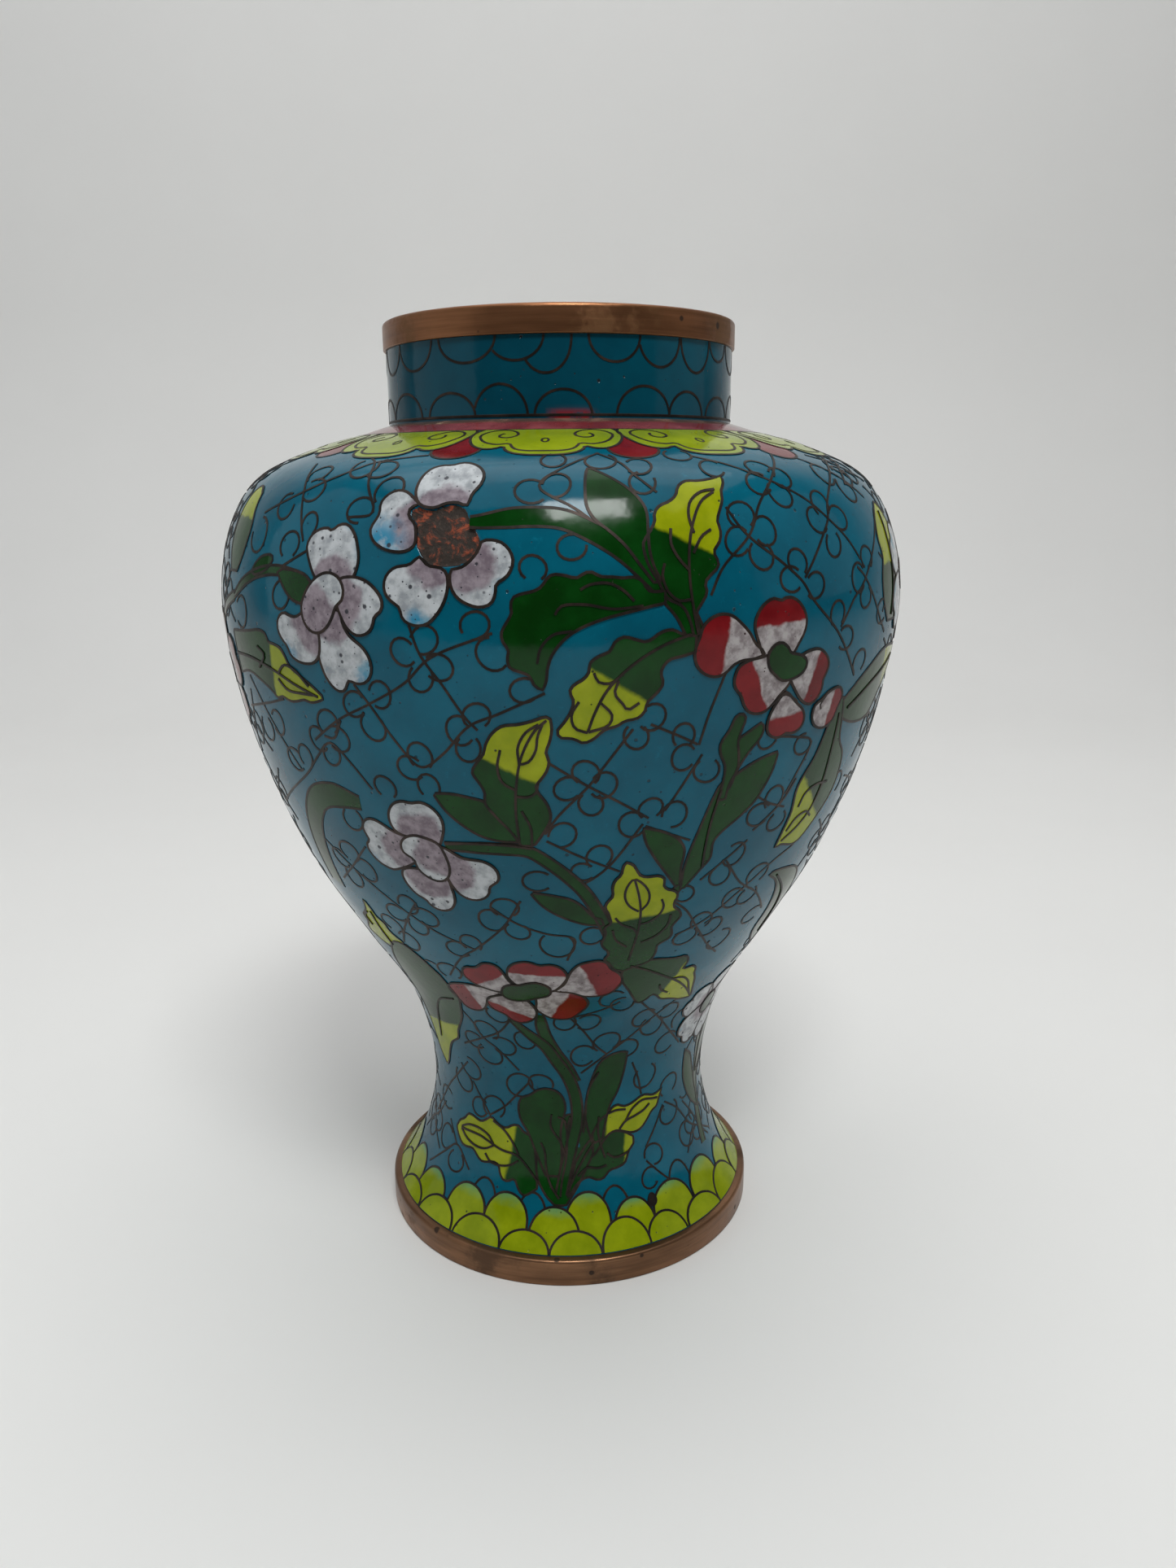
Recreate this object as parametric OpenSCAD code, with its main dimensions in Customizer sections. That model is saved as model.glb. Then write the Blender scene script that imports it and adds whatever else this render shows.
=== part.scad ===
// Cloisonne baluster vase: a spun copper body with an enamel skin, a lining, copper
// bands at foot and mouth, and a pattern of wires and coloured cells laid on the skin.
// Lengths are in mm, angles in degrees. The axis is Z and the foot stands on z = 0.

/* [Vase] */
// Overall height, foot to rim
height = 203; // [190:1:215]
// Radius at the widest part of the shoulder
belly_r = 73; // [70:0.5:76]
// Radius of the neck over its enamel
neck_r = 36.5; // [35.5:0.1:37.5]
// Radius of the copper band round the foot
foot_r = 44; // [43:0.1:45]

/* [Copper] */
// Thickness of the spun copper sheet
copper_t = 1; // [0.8:0.1:1.2]
// Height of the band round the foot
foot_band_h = 6.2; // [5.5:0.1:7]
// Height of the band round the mouth
mouth_band_h = 5.4; // [4.5:0.1:6]
// How far the mouth band stands proud of the neck
mouth_proud = 0.6; // [0.4:0.1:1]

/* [Enamel] */
// Thickness of the enamel skin outside
enamel_t = 0.8; // [0.6:0.1:1]
// Thickness of the enamel lining inside
lining_t = 0.4; // [0.3:0.1:0.6]

/* [Wires and cells] */
// Width of the flat wire between two colours
wire_w = 0.5; // [0.4:0.05:0.6]
// How far the wires stand off the skin
wire_h = 0.3; // [0.25:0.05:0.4]
// How far the coloured cells stand off the skin
cell_h = 0.25; // [0.15:0.05:0.25]
// Number of cloud lappets round the shoulder
lappet_count = 11; // [10:1:12]
// Number of scales in each row above the foot
scale_count = 22; // [20:1:24]
// Number of arcs in the row under the mouth
hanging_arc_count = 22; // [18:1:24]
// Number of arcs in the row at the root of the neck
rising_arc_count = 18; // [16:1:20]
// Number of lattice meshes round the body
mesh_count = 18; // [14:1:20]

/* [Hidden] */

copper = "#8a5a3c";
brown = "#4a3428";
turquoise = "#1f86a8";
lime = "#a8b820";
red = "#8c2626";
white = "#e6e2e6";
green = "#1f5a22";
yellow = "#c8c020";

round_steps = 96;
curve_steps = 4;
seat_gap = 0.02;
clear = 0.05;
copper_neck_r = neck_r - enamel_t;
band_wall = 1.2;
// Step from the foot band in to the enamel above it
foot_step = 1.8;
ledge_t = 1;
ledge_in = 4;
base_disc_r = foot_r - foot_step - ledge_in;
neck_z = 0.9 * height;
// The neck tube starts inside the shoulder, this share of the sheet down
neck_sink = 0.8;
neck_root_z = neck_z - enamel_t - neck_sink * copper_t;
mouth_band_z = height - mouth_band_h;
lip_r = 0.7;

// Outline of the body between foot and neck, as [share of belly radius, share of body height]
body_shape = [
    [0.52, 0.033], [0.475, 0.078], [0.447, 0.14], [0.462, 0.214], [0.521, 0.293],
    [0.656, 0.384], [0.8, 0.486], [0.911, 0.6], [0.975, 0.707], [1, 0.809],
    [0.962, 0.888], [0.88, 0.94], [0.71, 0.974], [0.6, 0.987]
];
body_stations = [
    [foot_r - foot_step, foot_band_h],
    for (p = body_shape) [p.x * belly_r, foot_band_h + p.y * (neck_z - foot_band_h)],
    [neck_r, neck_z]
];

// Centripetal spline from b to c, with a and d as the points before and after
function spline_point(a, b, c, d, t) =
    let (
        ab = sqrt(norm(b - a)),
        bc = sqrt(norm(c - b)),
        cd = sqrt(norm(d - c)),
        leave = bc * ((b - a) / ab - (c - a) / (ab + bc) + (c - b) / bc),
        arrive = bc * ((c - b) / bc - (d - b) / (bc + cd) + (d - c) / cd)
    )
    (2 * t ^ 3 - 3 * t ^ 2 + 1) * b + (t ^ 3 - 2 * t ^ 2 + t) * leave
    + (3 * t ^ 2 - 2 * t ^ 3) * c + (t ^ 3 - t ^ 2) * arrive;
function spline(p, steps) =
    let (
        n = len(p) - 1,
        q = [2 * p[0] - p[1], each p, 2 * p[n] - p[n - 1]]
    )
    [
        for (i = [0:n - 1], k = [0:steps - 1]) spline_point(q[i], q[i + 1], q[i + 2], q[i + 3], k / steps),
        p[n]
    ];

// The outer face of the enamel as [radius, z] points, up the body and then up the neck
body_path = spline(body_stations, curve_steps);
last = len(body_path) - 1;
// Where the copper shells meet: at the waist, where the body swells out, and at its widest
waist = 3 * curve_steps;
swell = 6 * curve_steps;
widest = 10 * curve_steps;
collar_start = last - curve_steps;
skin_path = [each body_path, [neck_r, mouth_band_z]];

// Distance run along the skin from the foot band to each point of the path
function runs(p, i = 0, total = 0) =
    i == len(p) - 1 ? [total] : [total, each runs(p, i + 1, total + norm(p[i + 1] - p[i]))];
skin_runs = runs(skin_path);
neck_run = skin_runs[last];
mouth_run = skin_runs[last + 1];
radius_table = [for (i = [0:last + 1]) [skin_runs[i], skin_path[i].x]];
height_table = [for (i = [0:last + 1]) [skin_runs[i], skin_path[i].y]];
function radius_at(s) = lookup(s, radius_table);
function height_at(s) = lookup(s, height_table);

// Unit normal of the outline at run s
function normal_at(s) =
    let (
        dr = radius_at(s + 0.5) - radius_at(s - 0.5),
        dz = height_at(s + 0.5) - height_at(s - 0.5)
    )
    [dz, -dr] / norm([dr, dz]);

function outline_point(s, lift) = [radius_at(s), height_at(s)] + lift * normal_at(s);

// Point on the skin at bearing and run, lifted off it; bearing 0 faces -Y and grows towards +X
function on_skin(spot, lift) =
    let (p = outline_point(spot.y, lift))
    [p.x * sin(spot.x), -p.x * cos(spot.x), p.y];

// The outline moved inward by d, from point i to point j of the body path, ending on the foot band
function inward(i, j, d) = [
    for (k = [i:j])
        let (
            a = body_path[max(k - 1, 0)],
            b = body_path[min(k + 1, last)],
            way = (b - a) / norm(b - a),
            moved = body_path[k] - d * [way.y, -way.x]
        )
        k == 0 ? moved + way * (foot_band_h - moved.y) / way.y : moved
];
function reversed(p) = [for (i = [len(p) - 1:-1:0]) p[i]];

// Shell of revolution between two depths under the skin
module body_shell(i, j, outer_depth, inner_depth) {
    rotate_extrude($fn = round_steps)
        polygon([each inward(i, j, outer_depth), each reversed(inward(i, j, inner_depth))]);
}
module tube(outer, inner, z0, z1) {
    rotate_extrude($fn = round_steps)
        translate([inner, z0])
            square([outer - inner, z1 - z0]);
}

// Pattern placing. Runs and sizes of motifs are for a body run of 209 mm and grow with it
grow = neck_run / 209;
function degrees_per_mm(s) = 180 / (PI * radius_at(s));
// Chart point reached from a spot by going right x mm and up y mm, turned clockwise
function step_from(spot, turn, x, y) =
    let (s = spot.y + grow * (y * cos(turn) - x * sin(turn)))
    [spot.x + grow * (x * cos(turn) + y * sin(turn)) * degrees_per_mm(spot.y), s];

// Strips: lists of sections, each section a row of chart points, made into thin solids
function section_ring(row, low, high) = [
    for (p = row) on_skin(p, low),
    for (p = reversed(row)) on_skin(p, high)
];
function strip_faces(m, n, closed, base) = [
    for (i = [0:n - (closed ? 1 : 2)], k = [0:m - 1])
        let (
            a = base + i * m + k,
            b = base + i * m + (k + 1) % m,
            c = base + ((i + 1) % n) * m + (k + 1) % m,
            d = base + ((i + 1) % n) * m + k
        )
        each [[a, d, c], [a, c, b]],
    if (!closed)
        for (k = [0:m / 2 - 2])
            let (
                a = base + k,
                b = base + m - 1 - k,
                far = base + (n - 1) * m
            )
            each [
                [a, a + 1, b - 1], [a, b - 1, b],
                [far + k, far + m - 2 - k, far + k + 1], [far + k, far + m - 1 - k, far + m - 2 - k]
            ]
];
// All strips of one node in one polyhedron; every section has the same number of points
module strips(list, low, high, closed = false) {
    m = 2 * len(list[0][0]);
    counts = [for (strip = list) len(strip)];
    starts = runs_of(counts);
    points = [for (strip = list, row = strip) each section_ring(row, low, high)];
    faces = [for (i = [0:len(list) - 1]) each strip_faces(m, counts[i], closed, m * starts[i])];
    polyhedron(points, faces);
}
function runs_of(counts, i = 0, total = 0) =
    i == len(counts) ? [] : [total, each runs_of(counts, i + 1, total + counts[i])];

// Section across a wire at point b of a line, square to the way from a to c, width mm wide
function across(a, b, c, width) =
    let (
        k = degrees_per_mm(b.y),
        way = [(c.x - a.x) / k, c.y - a.y],
        side = width / 2 * [way.y, -way.x] / norm(way)
    )
    [b - [side.x * k, side.y], b + [side.x * k, side.y]];
function open_wire(p, width = wire_w) = [
    for (i = [0:len(p) - 1]) across(p[max(i - 1, 0)], p[i], p[min(i + 1, len(p) - 1)], width)
];
function loop_wire(p) = [
    for (i = [0:len(p) - 1]) across(p[(i + len(p) - 1) % len(p)], p[i], p[(i + 1) % len(p)], wire_w)
];
module wires(lines) {
    strips([for (p = lines) open_wire(p)], seat_gap, wire_h);
}
module loops(lines) {
    strips([for (p = lines) loop_wire(p)], seat_gap, wire_h, closed = true);
}
module cells(list) {
    strips(list, seat_gap, cell_h);
}

// A cell as rungs from side to side, with enough points across to follow the round body
function rung(left, right, gaps) = [for (i = [0:gaps]) left + (right - left) * i / gaps];
function outline(rungs) = [
    for (row = rungs) row[0],
    for (row = reversed(rungs)) row[len(row) - 1]
];
petal_gaps = 1;
leaf_gaps = 2;
scale_gaps = 2;
lappet_gaps = 3;
cell_inset = wire_w / 2 + clear;
// Half width at which a cell's point is cut off
point_half = 0.2;

/* Flowers */
// Half width of a petal at share t of its length: a round head on a narrower root
function petal_half(width, t) = width / 2 * (0.4 + 0.75 * t) * sqrt(max(0, 1 - abs(2 * t - 1) ^ 3));
petal_shares = [0.02, 0.3, 0.75, 0.985];
// Petal: [spot of its root, turn, length, width]
function petal_rungs(p, grown) = [
    for (t = petal_shares)
        let (
            half = max(petal_half(p[3], t) + grown, point_half),
            y = p[2] * t + grown * (2 * t - 1)
        )
        rung(step_from(p[0], p[1], -half, y), step_from(p[0], p[1], half, y), petal_gaps)
];

// A flower: [bearing, run, [turn, length, width] of each petal]
white_flowers = [
    [-34, 154, [[5, 15.5, 11], [78, 12, 9.5], [160, 14, 11], [240, 15, 10], [303, 9.5, 8]]],
    [-16.5, 168, [[2, 15, 11], [290, 13, 10], [196, 14.5, 11], [130, 13, 10]]],
    [-24.5, 107, [[354, 14, 11], [286, 15, 10], [190, 13, 11], [112, 15.5, 10], [52, 8.5, 7]]],
    [74, 157, [[0, 14, 11], [75, 14, 10], [180, 14, 11], [260, 14, 10]]]
];
red_flowers = [
    [32.5, 146, [[352, 11.5, 10], [292, 16, 11], [222, 12, 10], [110, 12, 10], [170, 14.5, 9]]],
    [-10.6, 69.5, [[305, 13, 9], [5, 11, 10], [66, 18, 10], [248, 17, 9], [191, 12, 9], [125, 14, 10]]],
    [-73, 139, [[0, 12, 10], [72, 13, 10], [144, 12, 10], [216, 12, 10], [288, 13, 10]]]
];
// The half of the pattern is drawn once and again on the far side
halves = [0, 180];
petal_root = 2.2;
function flower_petals(flowers) = [
    for (half = halves, f = flowers, q = f[2])
        [step_from([f.x + half, f.y * grow], q[0], 0, petal_root), q[0], q[1] - petal_root, q[2]]
];
// Hearts: [bearing, run, width, height]
hearts = [[32.5, 146, 6.5, 6], [-10.6, 69.5, 9.5, 6], [-73, 139, 6, 6]];

/* Leaves and stems */
// Leaf: [base bearing, base run, tip bearing, tip run, width, bow, yellow share of its length]
leaves = [
    [18, 151, 25, 179, 8, 2, 0.45], [12, 163, 4, 180, 6, -1, 0], [14, 160, -4, 144, 10, 5, 0],
    [16, 147, 0, 133.5, 8, 2, 0.6], [-6.5, 114, -2.5, 137, 8, 2, 0.45], [-9, 114, -20, 121, 4.5, 1, 0],
    [22, 103, 33.5, 127, 6, -1, 0], [19, 101, 12, 115, 5.5, 1, 0], [14, 80, 10.5, 107, 12, 1, 0.5],
    [17, 78, 38, 61, 8, -2, 0.45], [6, 92, -6.5, 101, 5, -1, 0], [-62, 147, -38, 139, 8, -2, 0.4],
    [-60, 161, -63, 178, 8, 1, 0.5], [50, 134, 45, 105, 9, -2, 0.4], [-42, 70, -47, 90, 8, 1, 0.6],
    [-37, 60, -58, 38, 9, 2, 0.45], [62, 148, 64, 172, 7, 2, 0.4], [44, 97, 61, 74, 7, 2, 0],
    [-7, 27, -13, 38, 9, 1, 0], [6, 27, 20, 46, 8, 2, 0], [-10, 18, -50, 22, 7, -2, 0.55],
    [5, 18, 38, 32, 7, 2, 0.45]
];
function leaf_half(width, t) = width / 2 * sin(180 * t ^ 0.8);
function leaf_rungs(leaf, shares, grown) =
    let (
        base = [leaf[0], leaf[1] * grow],
        k = degrees_per_mm(base.y) * grow,
        reach = [(leaf[2] - leaf[0]) / k, leaf[3] - leaf[1]],
        turn = atan2(reach.x, reach.y)
    )
    [
        for (half = halves) [
            for (t = shares)
                let (
                    w = max(leaf_half(leaf[4], t) + grown, point_half),
                    bow = 4 * leaf[5] * t * (1 - t),
                    spot = [base.x + half, base.y]
                )
                rung(
                    step_from(spot, turn, bow - w, norm(reach) * t),
                    step_from(spot, turn, bow + w, norm(reach) * t),
                    leaf_gaps
                )
        ]
    ];
function spread(a, b, steps) = [for (i = [0:steps]) a + (b - a) * i / steps];
root_share = 0.05;
tip_share = 0.96;
// Stem: chart points from end to end
stems = [
    [[-10, 172.5], [0, 171.5], [8, 167], [11.5, 161]],
    [[-12, 112], [-5, 110], [0, 101], [6, 90], [11, 82]],
    [[27, 134], [24.5, 122], [22.5, 110], [20.5, 104]],
    [[-56, 158.5], [-50, 161.5], [-44, 161]],
    [[-8, 57], [-5.5, 50], [0, 43], [3, 35], [1, 25], [-3, 13]],
    [[-40, 117], [-50, 112], [-55, 102], [-52, 92]]
];
stem_w = 1.6;

/* Lattice of wires over the turquoise ground */
lattice_from = 22;
lattice_step = 12;
lattice_rows = 13;
crossing_gap = 0.8;
function crossing(i, j) = [(i + (j % 2) / 2) * 360 / mesh_count, (lattice_from + j * lattice_step) * grow];
// Distance in mm from a chart point to the line a-b, all near each other on the chart
function chart_gap(p, a, b) =
    let (
        k = degrees_per_mm(p.y),
        turn_to = function(q) [((q.x - p.x + 540) % 360 - 180) / k, q.y - p.y],
        u = turn_to(a),
        v = u + [(b.x - a.x) / k, b.y - a.y],
        w = v - u,
        t = max(0, min(1, -(u * w) / (w * w + 0.001)))
    )
    norm(u + t * w);
flower_reach = 17;
function in_flower(p) = len([
    for (f = [each white_flowers, each red_flowers], half = halves)
        if (chart_gap(p, [f.x + half, f.y * grow], [f.x + half, f.y * grow + 0.1]) < flower_reach * grow) 1
]) > 0;
function in_leaf(p) = len([
    for (leaf = leaves, half = halves)
        let (
            a = [leaf[0] + half, leaf[1] * grow],
            b = [leaf[2] + half, leaf[3] * grow]
        )
        if (chart_gap(p, a, b) < (leaf[4] / 2 + abs(leaf[5]) + 1) * grow) 1
]) > 0;
function in_stem(p) = len([
    for (stem = stems, i = [0:len(stem) - 2], half = halves)
        let (
            a = [stem[i].x + half, stem[i].y * grow],
            b = [stem[i + 1].x + half, stem[i + 1].y * grow]
        )
        if (chart_gap(p, a, b) < stem_w + 1) 1
]) > 0;
function is_ground(p) = !in_flower(p) && !in_leaf(p) && !in_stem(p);
function strand(a, b) =
    let (
        gap = (b - a) * crossing_gap / lattice_step,
        p = [a + gap, (a + b) / 2, b - gap]
    )
    len([for (q = p) if (!is_ground(q)) 1]) == 0 ? [p] : [];
lattice_strands = [
    for (j = [0:lattice_rows - 1], i = [0:mesh_count - 1], side = [-0.5, 0.5])
        let (
            a = crossing(i, j),
            b = a + [side * 360 / mesh_count, lattice_step * grow]
        )
        each strand(a, b)
];

/* Shoulder lappets */
lappet_pitch = 360 / lappet_count;
lappet_from = -3;
// Lappet outline: [run, half width as a share of the pitch]
lappet_shape = [[187, 0.1], [188.5, 0.2], [191.5, 0.26], [194, 0.37], [198, 0.41], [200.8, 0.38]];
tongue_shape = [[185.4, 0.05], [187.5, 0.13], [191, 0.12], [195, 0.04]];
function banner_rungs(shape, centre, grown, gaps) = [
    for (i = [0:len(shape) - 1])
        let (
            s = shape[i].x * grow,
            half = shape[i].y * lappet_pitch + grown * degrees_per_mm(s)
        )
        rung([centre - half, s], [centre + half, s], gaps)
];
scroll_steps = 5;
scroll_run = 196.3;
scroll_offset = 0.22;
scroll_start = 230;
scroll_turn = 66;
scroll_size = 3.4;
scroll_shrink = 0.4;
// One curl inside a lappet, side -1 or 1
function scroll(centre, side) = [
    for (i = [0:scroll_steps])
        let (
            a = scroll_start - i * scroll_turn,
            size = scroll_size - scroll_shrink * i,
            spot = [centre + side * scroll_offset * lappet_pitch, scroll_run * grow]
        )
        step_from(spot, 0, side * size * cos(a), size * sin(a))
];
lappet_centres = [for (i = [0:lappet_count - 1]) lappet_from + i * lappet_pitch];
tongue_centres = [for (c = lappet_centres) c + lappet_pitch / 2];

/* Arcs on the neck and scales above the foot */
// Arc of half an ellipse: up or down from the run s0 to the run s1
arc_steps = 4;
function arch(centre, half, s0, s1) = [
    for (i = [0:arc_steps])
        let (a = 180 * i / arc_steps)
        [centre - half * cos(a), s0 + (s1 - s0) * sin(a)]
];
arc_end_gap = 0.3;
arc_phase = 1;
hanging_drop = 4.4;
hanging_fill = 0.46;
rising_base = 1.6;
rising_top = 5.8;
rising_fill = 0.45;
scale_pitch = 360 / scale_count;
lower_scale_top = 5.4;
upper_scale_base = 6.1;
upper_scale_top = 11.6;
lower_scale_base = 0.3;
scale_phase = 2;
scale_fill = 0.46;
upper_fill = 0.4;
scale_rungs_at = [0, 0.5, 0.84];
function scale_rungs(centre, half, s0, s1) =
    let (margin = 2 * cell_inset * degrees_per_mm(s0))
    [
        for (t = scale_rungs_at)
            let (w = half * sqrt(1 - t * t) - margin)
            rung([centre - w, s0 + (s1 - s0) * t], [centre + w, s0 + (s1 - s0) * t], scale_gaps)
    ];
lower_scales = [for (i = [0:scale_count - 1]) i * scale_pitch + scale_phase];
upper_scales = [for (i = [0:scale_count - 1]) (i + 0.5) * scale_pitch + scale_phase];

module copper_foot() {
    color(copper)
        body_shell(0, waist, enamel_t, enamel_t + copper_t);
}

module copper_lower_body() {
    color(copper)
        body_shell(waist, swell, enamel_t, enamel_t + copper_t);
}

module copper_belly() {
    color(copper)
        body_shell(swell, widest, enamel_t, enamel_t + copper_t);
}

module copper_shoulder() {
    color(copper)
        rotate_extrude($fn = round_steps)
            polygon([
                each inward(widest, last, enamel_t), [copper_neck_r, neck_root_z + copper_t],
                [copper_neck_r, neck_root_z], each reversed(inward(widest, last, enamel_t + copper_t))
            ]);
}

module copper_neck() {
    color(copper)
        tube(copper_neck_r, copper_neck_r - copper_t, neck_root_z, height - copper_t);
}

module base_disc() {
    color(copper)
        translate([0, 0, foot_band_h - ledge_t])
            cylinder(h = ledge_t, r = base_disc_r, $fn = round_steps);
}

module foot_band() {
    edge = 0.8;
    corner = [for (a = [0:30:90]) [foot_r - edge + edge * cos(a), foot_band_h - edge + edge * sin(a)]];
    color(copper)
        rotate_extrude($fn = round_steps)
            polygon([
                [foot_r - band_wall, 0], [foot_r, 0], each corner, [base_disc_r, foot_band_h],
                [base_disc_r, foot_band_h - ledge_t], [foot_r - band_wall, foot_band_h - ledge_t]
            ]);
}

module mouth_band() {
    outer = neck_r + mouth_proud;
    inner = copper_neck_r - copper_t - lining_t;
    out_corner = [for (a = [0:30:90]) [outer - lip_r + lip_r * cos(a), height - lip_r + lip_r * sin(a)]];
    in_corner = [for (a = [90:30:180]) [inner + lip_r + lip_r * cos(a), height - lip_r + lip_r * sin(a)]];
    color(copper)
        rotate_extrude($fn = round_steps)
            polygon([
                [copper_neck_r, mouth_band_z], [outer, mouth_band_z], each out_corner, each in_corner,
                [inner, height - copper_t], [copper_neck_r, height - copper_t]
            ]);
}

module ground_enamel() {
    color(turquoise)
        body_shell(0, collar_start, 0, enamel_t);
}

module collar_enamel() {
    color(red)
        body_shell(collar_start, last, 0, enamel_t);
}

module neck_enamel() {
    color(turquoise)
        tube(neck_r, copper_neck_r, neck_z, mouth_band_z);
}

module lining_enamel() {
    depth = enamel_t + copper_t;
    outer_r = copper_neck_r - copper_t;
    inner_r = outer_r - lining_t;
    floor_z = foot_band_h + lining_t;
    inner_face = [for (p = inward(0, last, depth + lining_t)) [p.x, max(p.y, floor_z)]];
    color(turquoise)
        rotate_extrude($fn = round_steps)
            polygon([
                [0, foot_band_h], each inward(0, last, depth), [outer_r, neck_root_z],
                [outer_r, height - copper_t], [inner_r, height - copper_t],
                [inner_r, neck_root_z - lining_t], each reversed(inner_face), [0, floor_z]
            ]);
}

module base_enamel() {
    color(turquoise)
        translate([0, 0, foot_band_h - ledge_t - lining_t])
            cylinder(h = lining_t, r = base_disc_r, $fn = round_steps);
}

module lappet_cells() {
    color(lime)
        cells([for (c = lappet_centres) banner_rungs(lappet_shape, c, -cell_inset, lappet_gaps)]);
}

module tongue_cells() {
    color(red)
        cells([for (c = tongue_centres) banner_rungs(tongue_shape, c, -cell_inset, 1)]);
}

module scale_cells() {
    color(lime)
        cells([
            for (c = lower_scales)
                scale_rungs(c, scale_fill * scale_pitch, lower_scale_base, lower_scale_top),
            for (c = upper_scales)
                scale_rungs(c, upper_fill * scale_pitch, upper_scale_base, upper_scale_top)
        ]);
}

module white_petals() {
    color(white)
        cells([for (p = flower_petals(white_flowers)) petal_rungs(p, -cell_inset)]);
}

module red_petals() {
    color(red)
        cells([for (p = flower_petals(red_flowers)) petal_rungs(p, -cell_inset)]);
}

module flower_hearts() {
    color(green)
        cells([
            for (h = hearts, half = halves) [
                for (t = [-0.9, -0.5, 0.5, 0.9])
                    let (
                        spot = [h.x + half, h.y * grow],
                        w = h[2] / 2 * sqrt(1 - t * t)
                    )
                    rung(step_from(spot, 0, -w, t * h[3] / 2), step_from(spot, 0, w, t * h[3] / 2), 2)
            ]
        ]);
}

module leaf_cells() {
    color(green)
        cells([
            for (leaf = leaves)
                each leaf_rungs(leaf, spread(root_share, tip_share - leaf[6], 3), -cell_inset)
        ]);
}

module leaf_tip_cells() {
    color(yellow)
        cells([
            for (leaf = leaves)
                if (leaf[6] > 0)
                    each leaf_rungs(leaf, spread(tip_share - leaf[6] + 0.01, tip_share, 2), -cell_inset)
        ]);
}

module stem_cells() {
    color(green)
        strips([
            for (half = halves, stem = stems)
                open_wire([for (p = stem) [p.x + half, p.y * grow]], stem_w)
        ], seat_gap, cell_h);
}

module collar_wires() {
    half = wire_w / 2;
    root_wire_rise = 1;
    color(brown)
        for (s = [skin_runs[collar_start], neck_run + root_wire_rise])
            rotate_extrude($fn = round_steps)
                polygon([
                    outline_point(s - half, seat_gap), outline_point(s - half, wire_h),
                    outline_point(s + half, wire_h), outline_point(s + half, seat_gap)
                ]);
}

module lappet_wires() {
    color(brown)
        wires([for (c = lappet_centres) outline(reversed(banner_rungs(lappet_shape, c, 0, 1)))]);
}

module scroll_wires() {
    color(brown)
        wires([for (c = lappet_centres, side = [-1, 1]) scroll(c, side)]);
}

module tongue_wires() {
    color(brown)
        wires([for (c = tongue_centres) outline(reversed(banner_rungs(tongue_shape, c, 0, 1)))]);
}

module hanging_arc_wires() {
    pitch = 360 / hanging_arc_count;
    color(brown)
        wires([
            for (i = [0:hanging_arc_count - 1])
                let (centre = i * pitch + arc_phase)
                arch(centre, hanging_fill * pitch, mouth_run - arc_end_gap, mouth_run - hanging_drop)
        ]);
}

module rising_arc_wires() {
    pitch = 360 / rising_arc_count;
    color(brown)
        wires([
            for (i = [0:rising_arc_count - 1])
                let (centre = i * pitch + arc_phase)
                arch(centre, rising_fill * pitch, neck_run + rising_base, neck_run + rising_top)
        ]);
}

module scale_wires() {
    color(brown)
        wires([
            for (c = lower_scales) arch(c, scale_fill * scale_pitch, arc_end_gap, lower_scale_top),
            for (c = upper_scales) arch(c, upper_fill * scale_pitch, upper_scale_base, upper_scale_top)
        ]);
}

module petal_wires() {
    color(brown)
        loops([
            for (p = [each flower_petals(white_flowers), each flower_petals(red_flowers)])
                outline(petal_rungs(p, 0))
        ]);
}

module leaf_wires() {
    color(brown)
        loops([
            for (leaf = leaves, rungs = leaf_rungs(leaf, spread(0.03, 0.98, 4), 0)) outline(rungs)
        ]);
}

module lattice_wires() {
    color(brown)
        wires(lattice_strands);
}

copper_foot();
copper_lower_body();
copper_belly();
copper_shoulder();
copper_neck();
base_disc();
foot_band();
mouth_band();
ground_enamel();
collar_enamel();
neck_enamel();
lining_enamel();
base_enamel();
lappet_cells();
tongue_cells();
scale_cells();
white_petals();
red_petals();
flower_hearts();
leaf_cells();
leaf_tip_cells();
stem_cells();
collar_wires();
lappet_wires();
scroll_wires();
tongue_wires();
hanging_arc_wires();
rising_arc_wires();
scale_wires();
petal_wires();
leaf_wires();
lattice_wires();
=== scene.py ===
"""Looks of the cloisonne vase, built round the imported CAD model.

Lengths are in mm unless a name says otherwise, and are turned to metres when a mesh is made. A place on
the skin is a chart point [bearing, run]: bearing in degrees round the axis, 0 at the front (-Y) and
growing towards +X, and run in mm along the outline, up from the foot band.
"""

import math

import bpy
import numpy as np
from mathutils import Matrix, Vector


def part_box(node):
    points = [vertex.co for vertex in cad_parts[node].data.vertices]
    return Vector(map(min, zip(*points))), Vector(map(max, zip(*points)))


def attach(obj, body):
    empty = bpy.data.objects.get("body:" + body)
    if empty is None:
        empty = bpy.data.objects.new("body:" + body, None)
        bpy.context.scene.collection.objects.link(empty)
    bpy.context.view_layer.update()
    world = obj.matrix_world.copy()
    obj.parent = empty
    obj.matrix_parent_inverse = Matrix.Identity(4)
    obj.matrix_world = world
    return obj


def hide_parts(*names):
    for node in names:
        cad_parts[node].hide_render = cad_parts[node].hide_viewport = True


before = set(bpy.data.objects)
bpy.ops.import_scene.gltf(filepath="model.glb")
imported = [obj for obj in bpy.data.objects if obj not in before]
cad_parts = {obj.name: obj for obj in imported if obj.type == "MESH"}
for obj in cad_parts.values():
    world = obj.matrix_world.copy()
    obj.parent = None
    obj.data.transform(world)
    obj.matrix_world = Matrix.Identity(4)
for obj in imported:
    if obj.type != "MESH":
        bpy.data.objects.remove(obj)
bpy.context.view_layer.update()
rng = np.random.default_rng(7)

# ---------------------------------------------------------------- sizes, read from the frame
TO_METRES = 0.001


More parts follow.
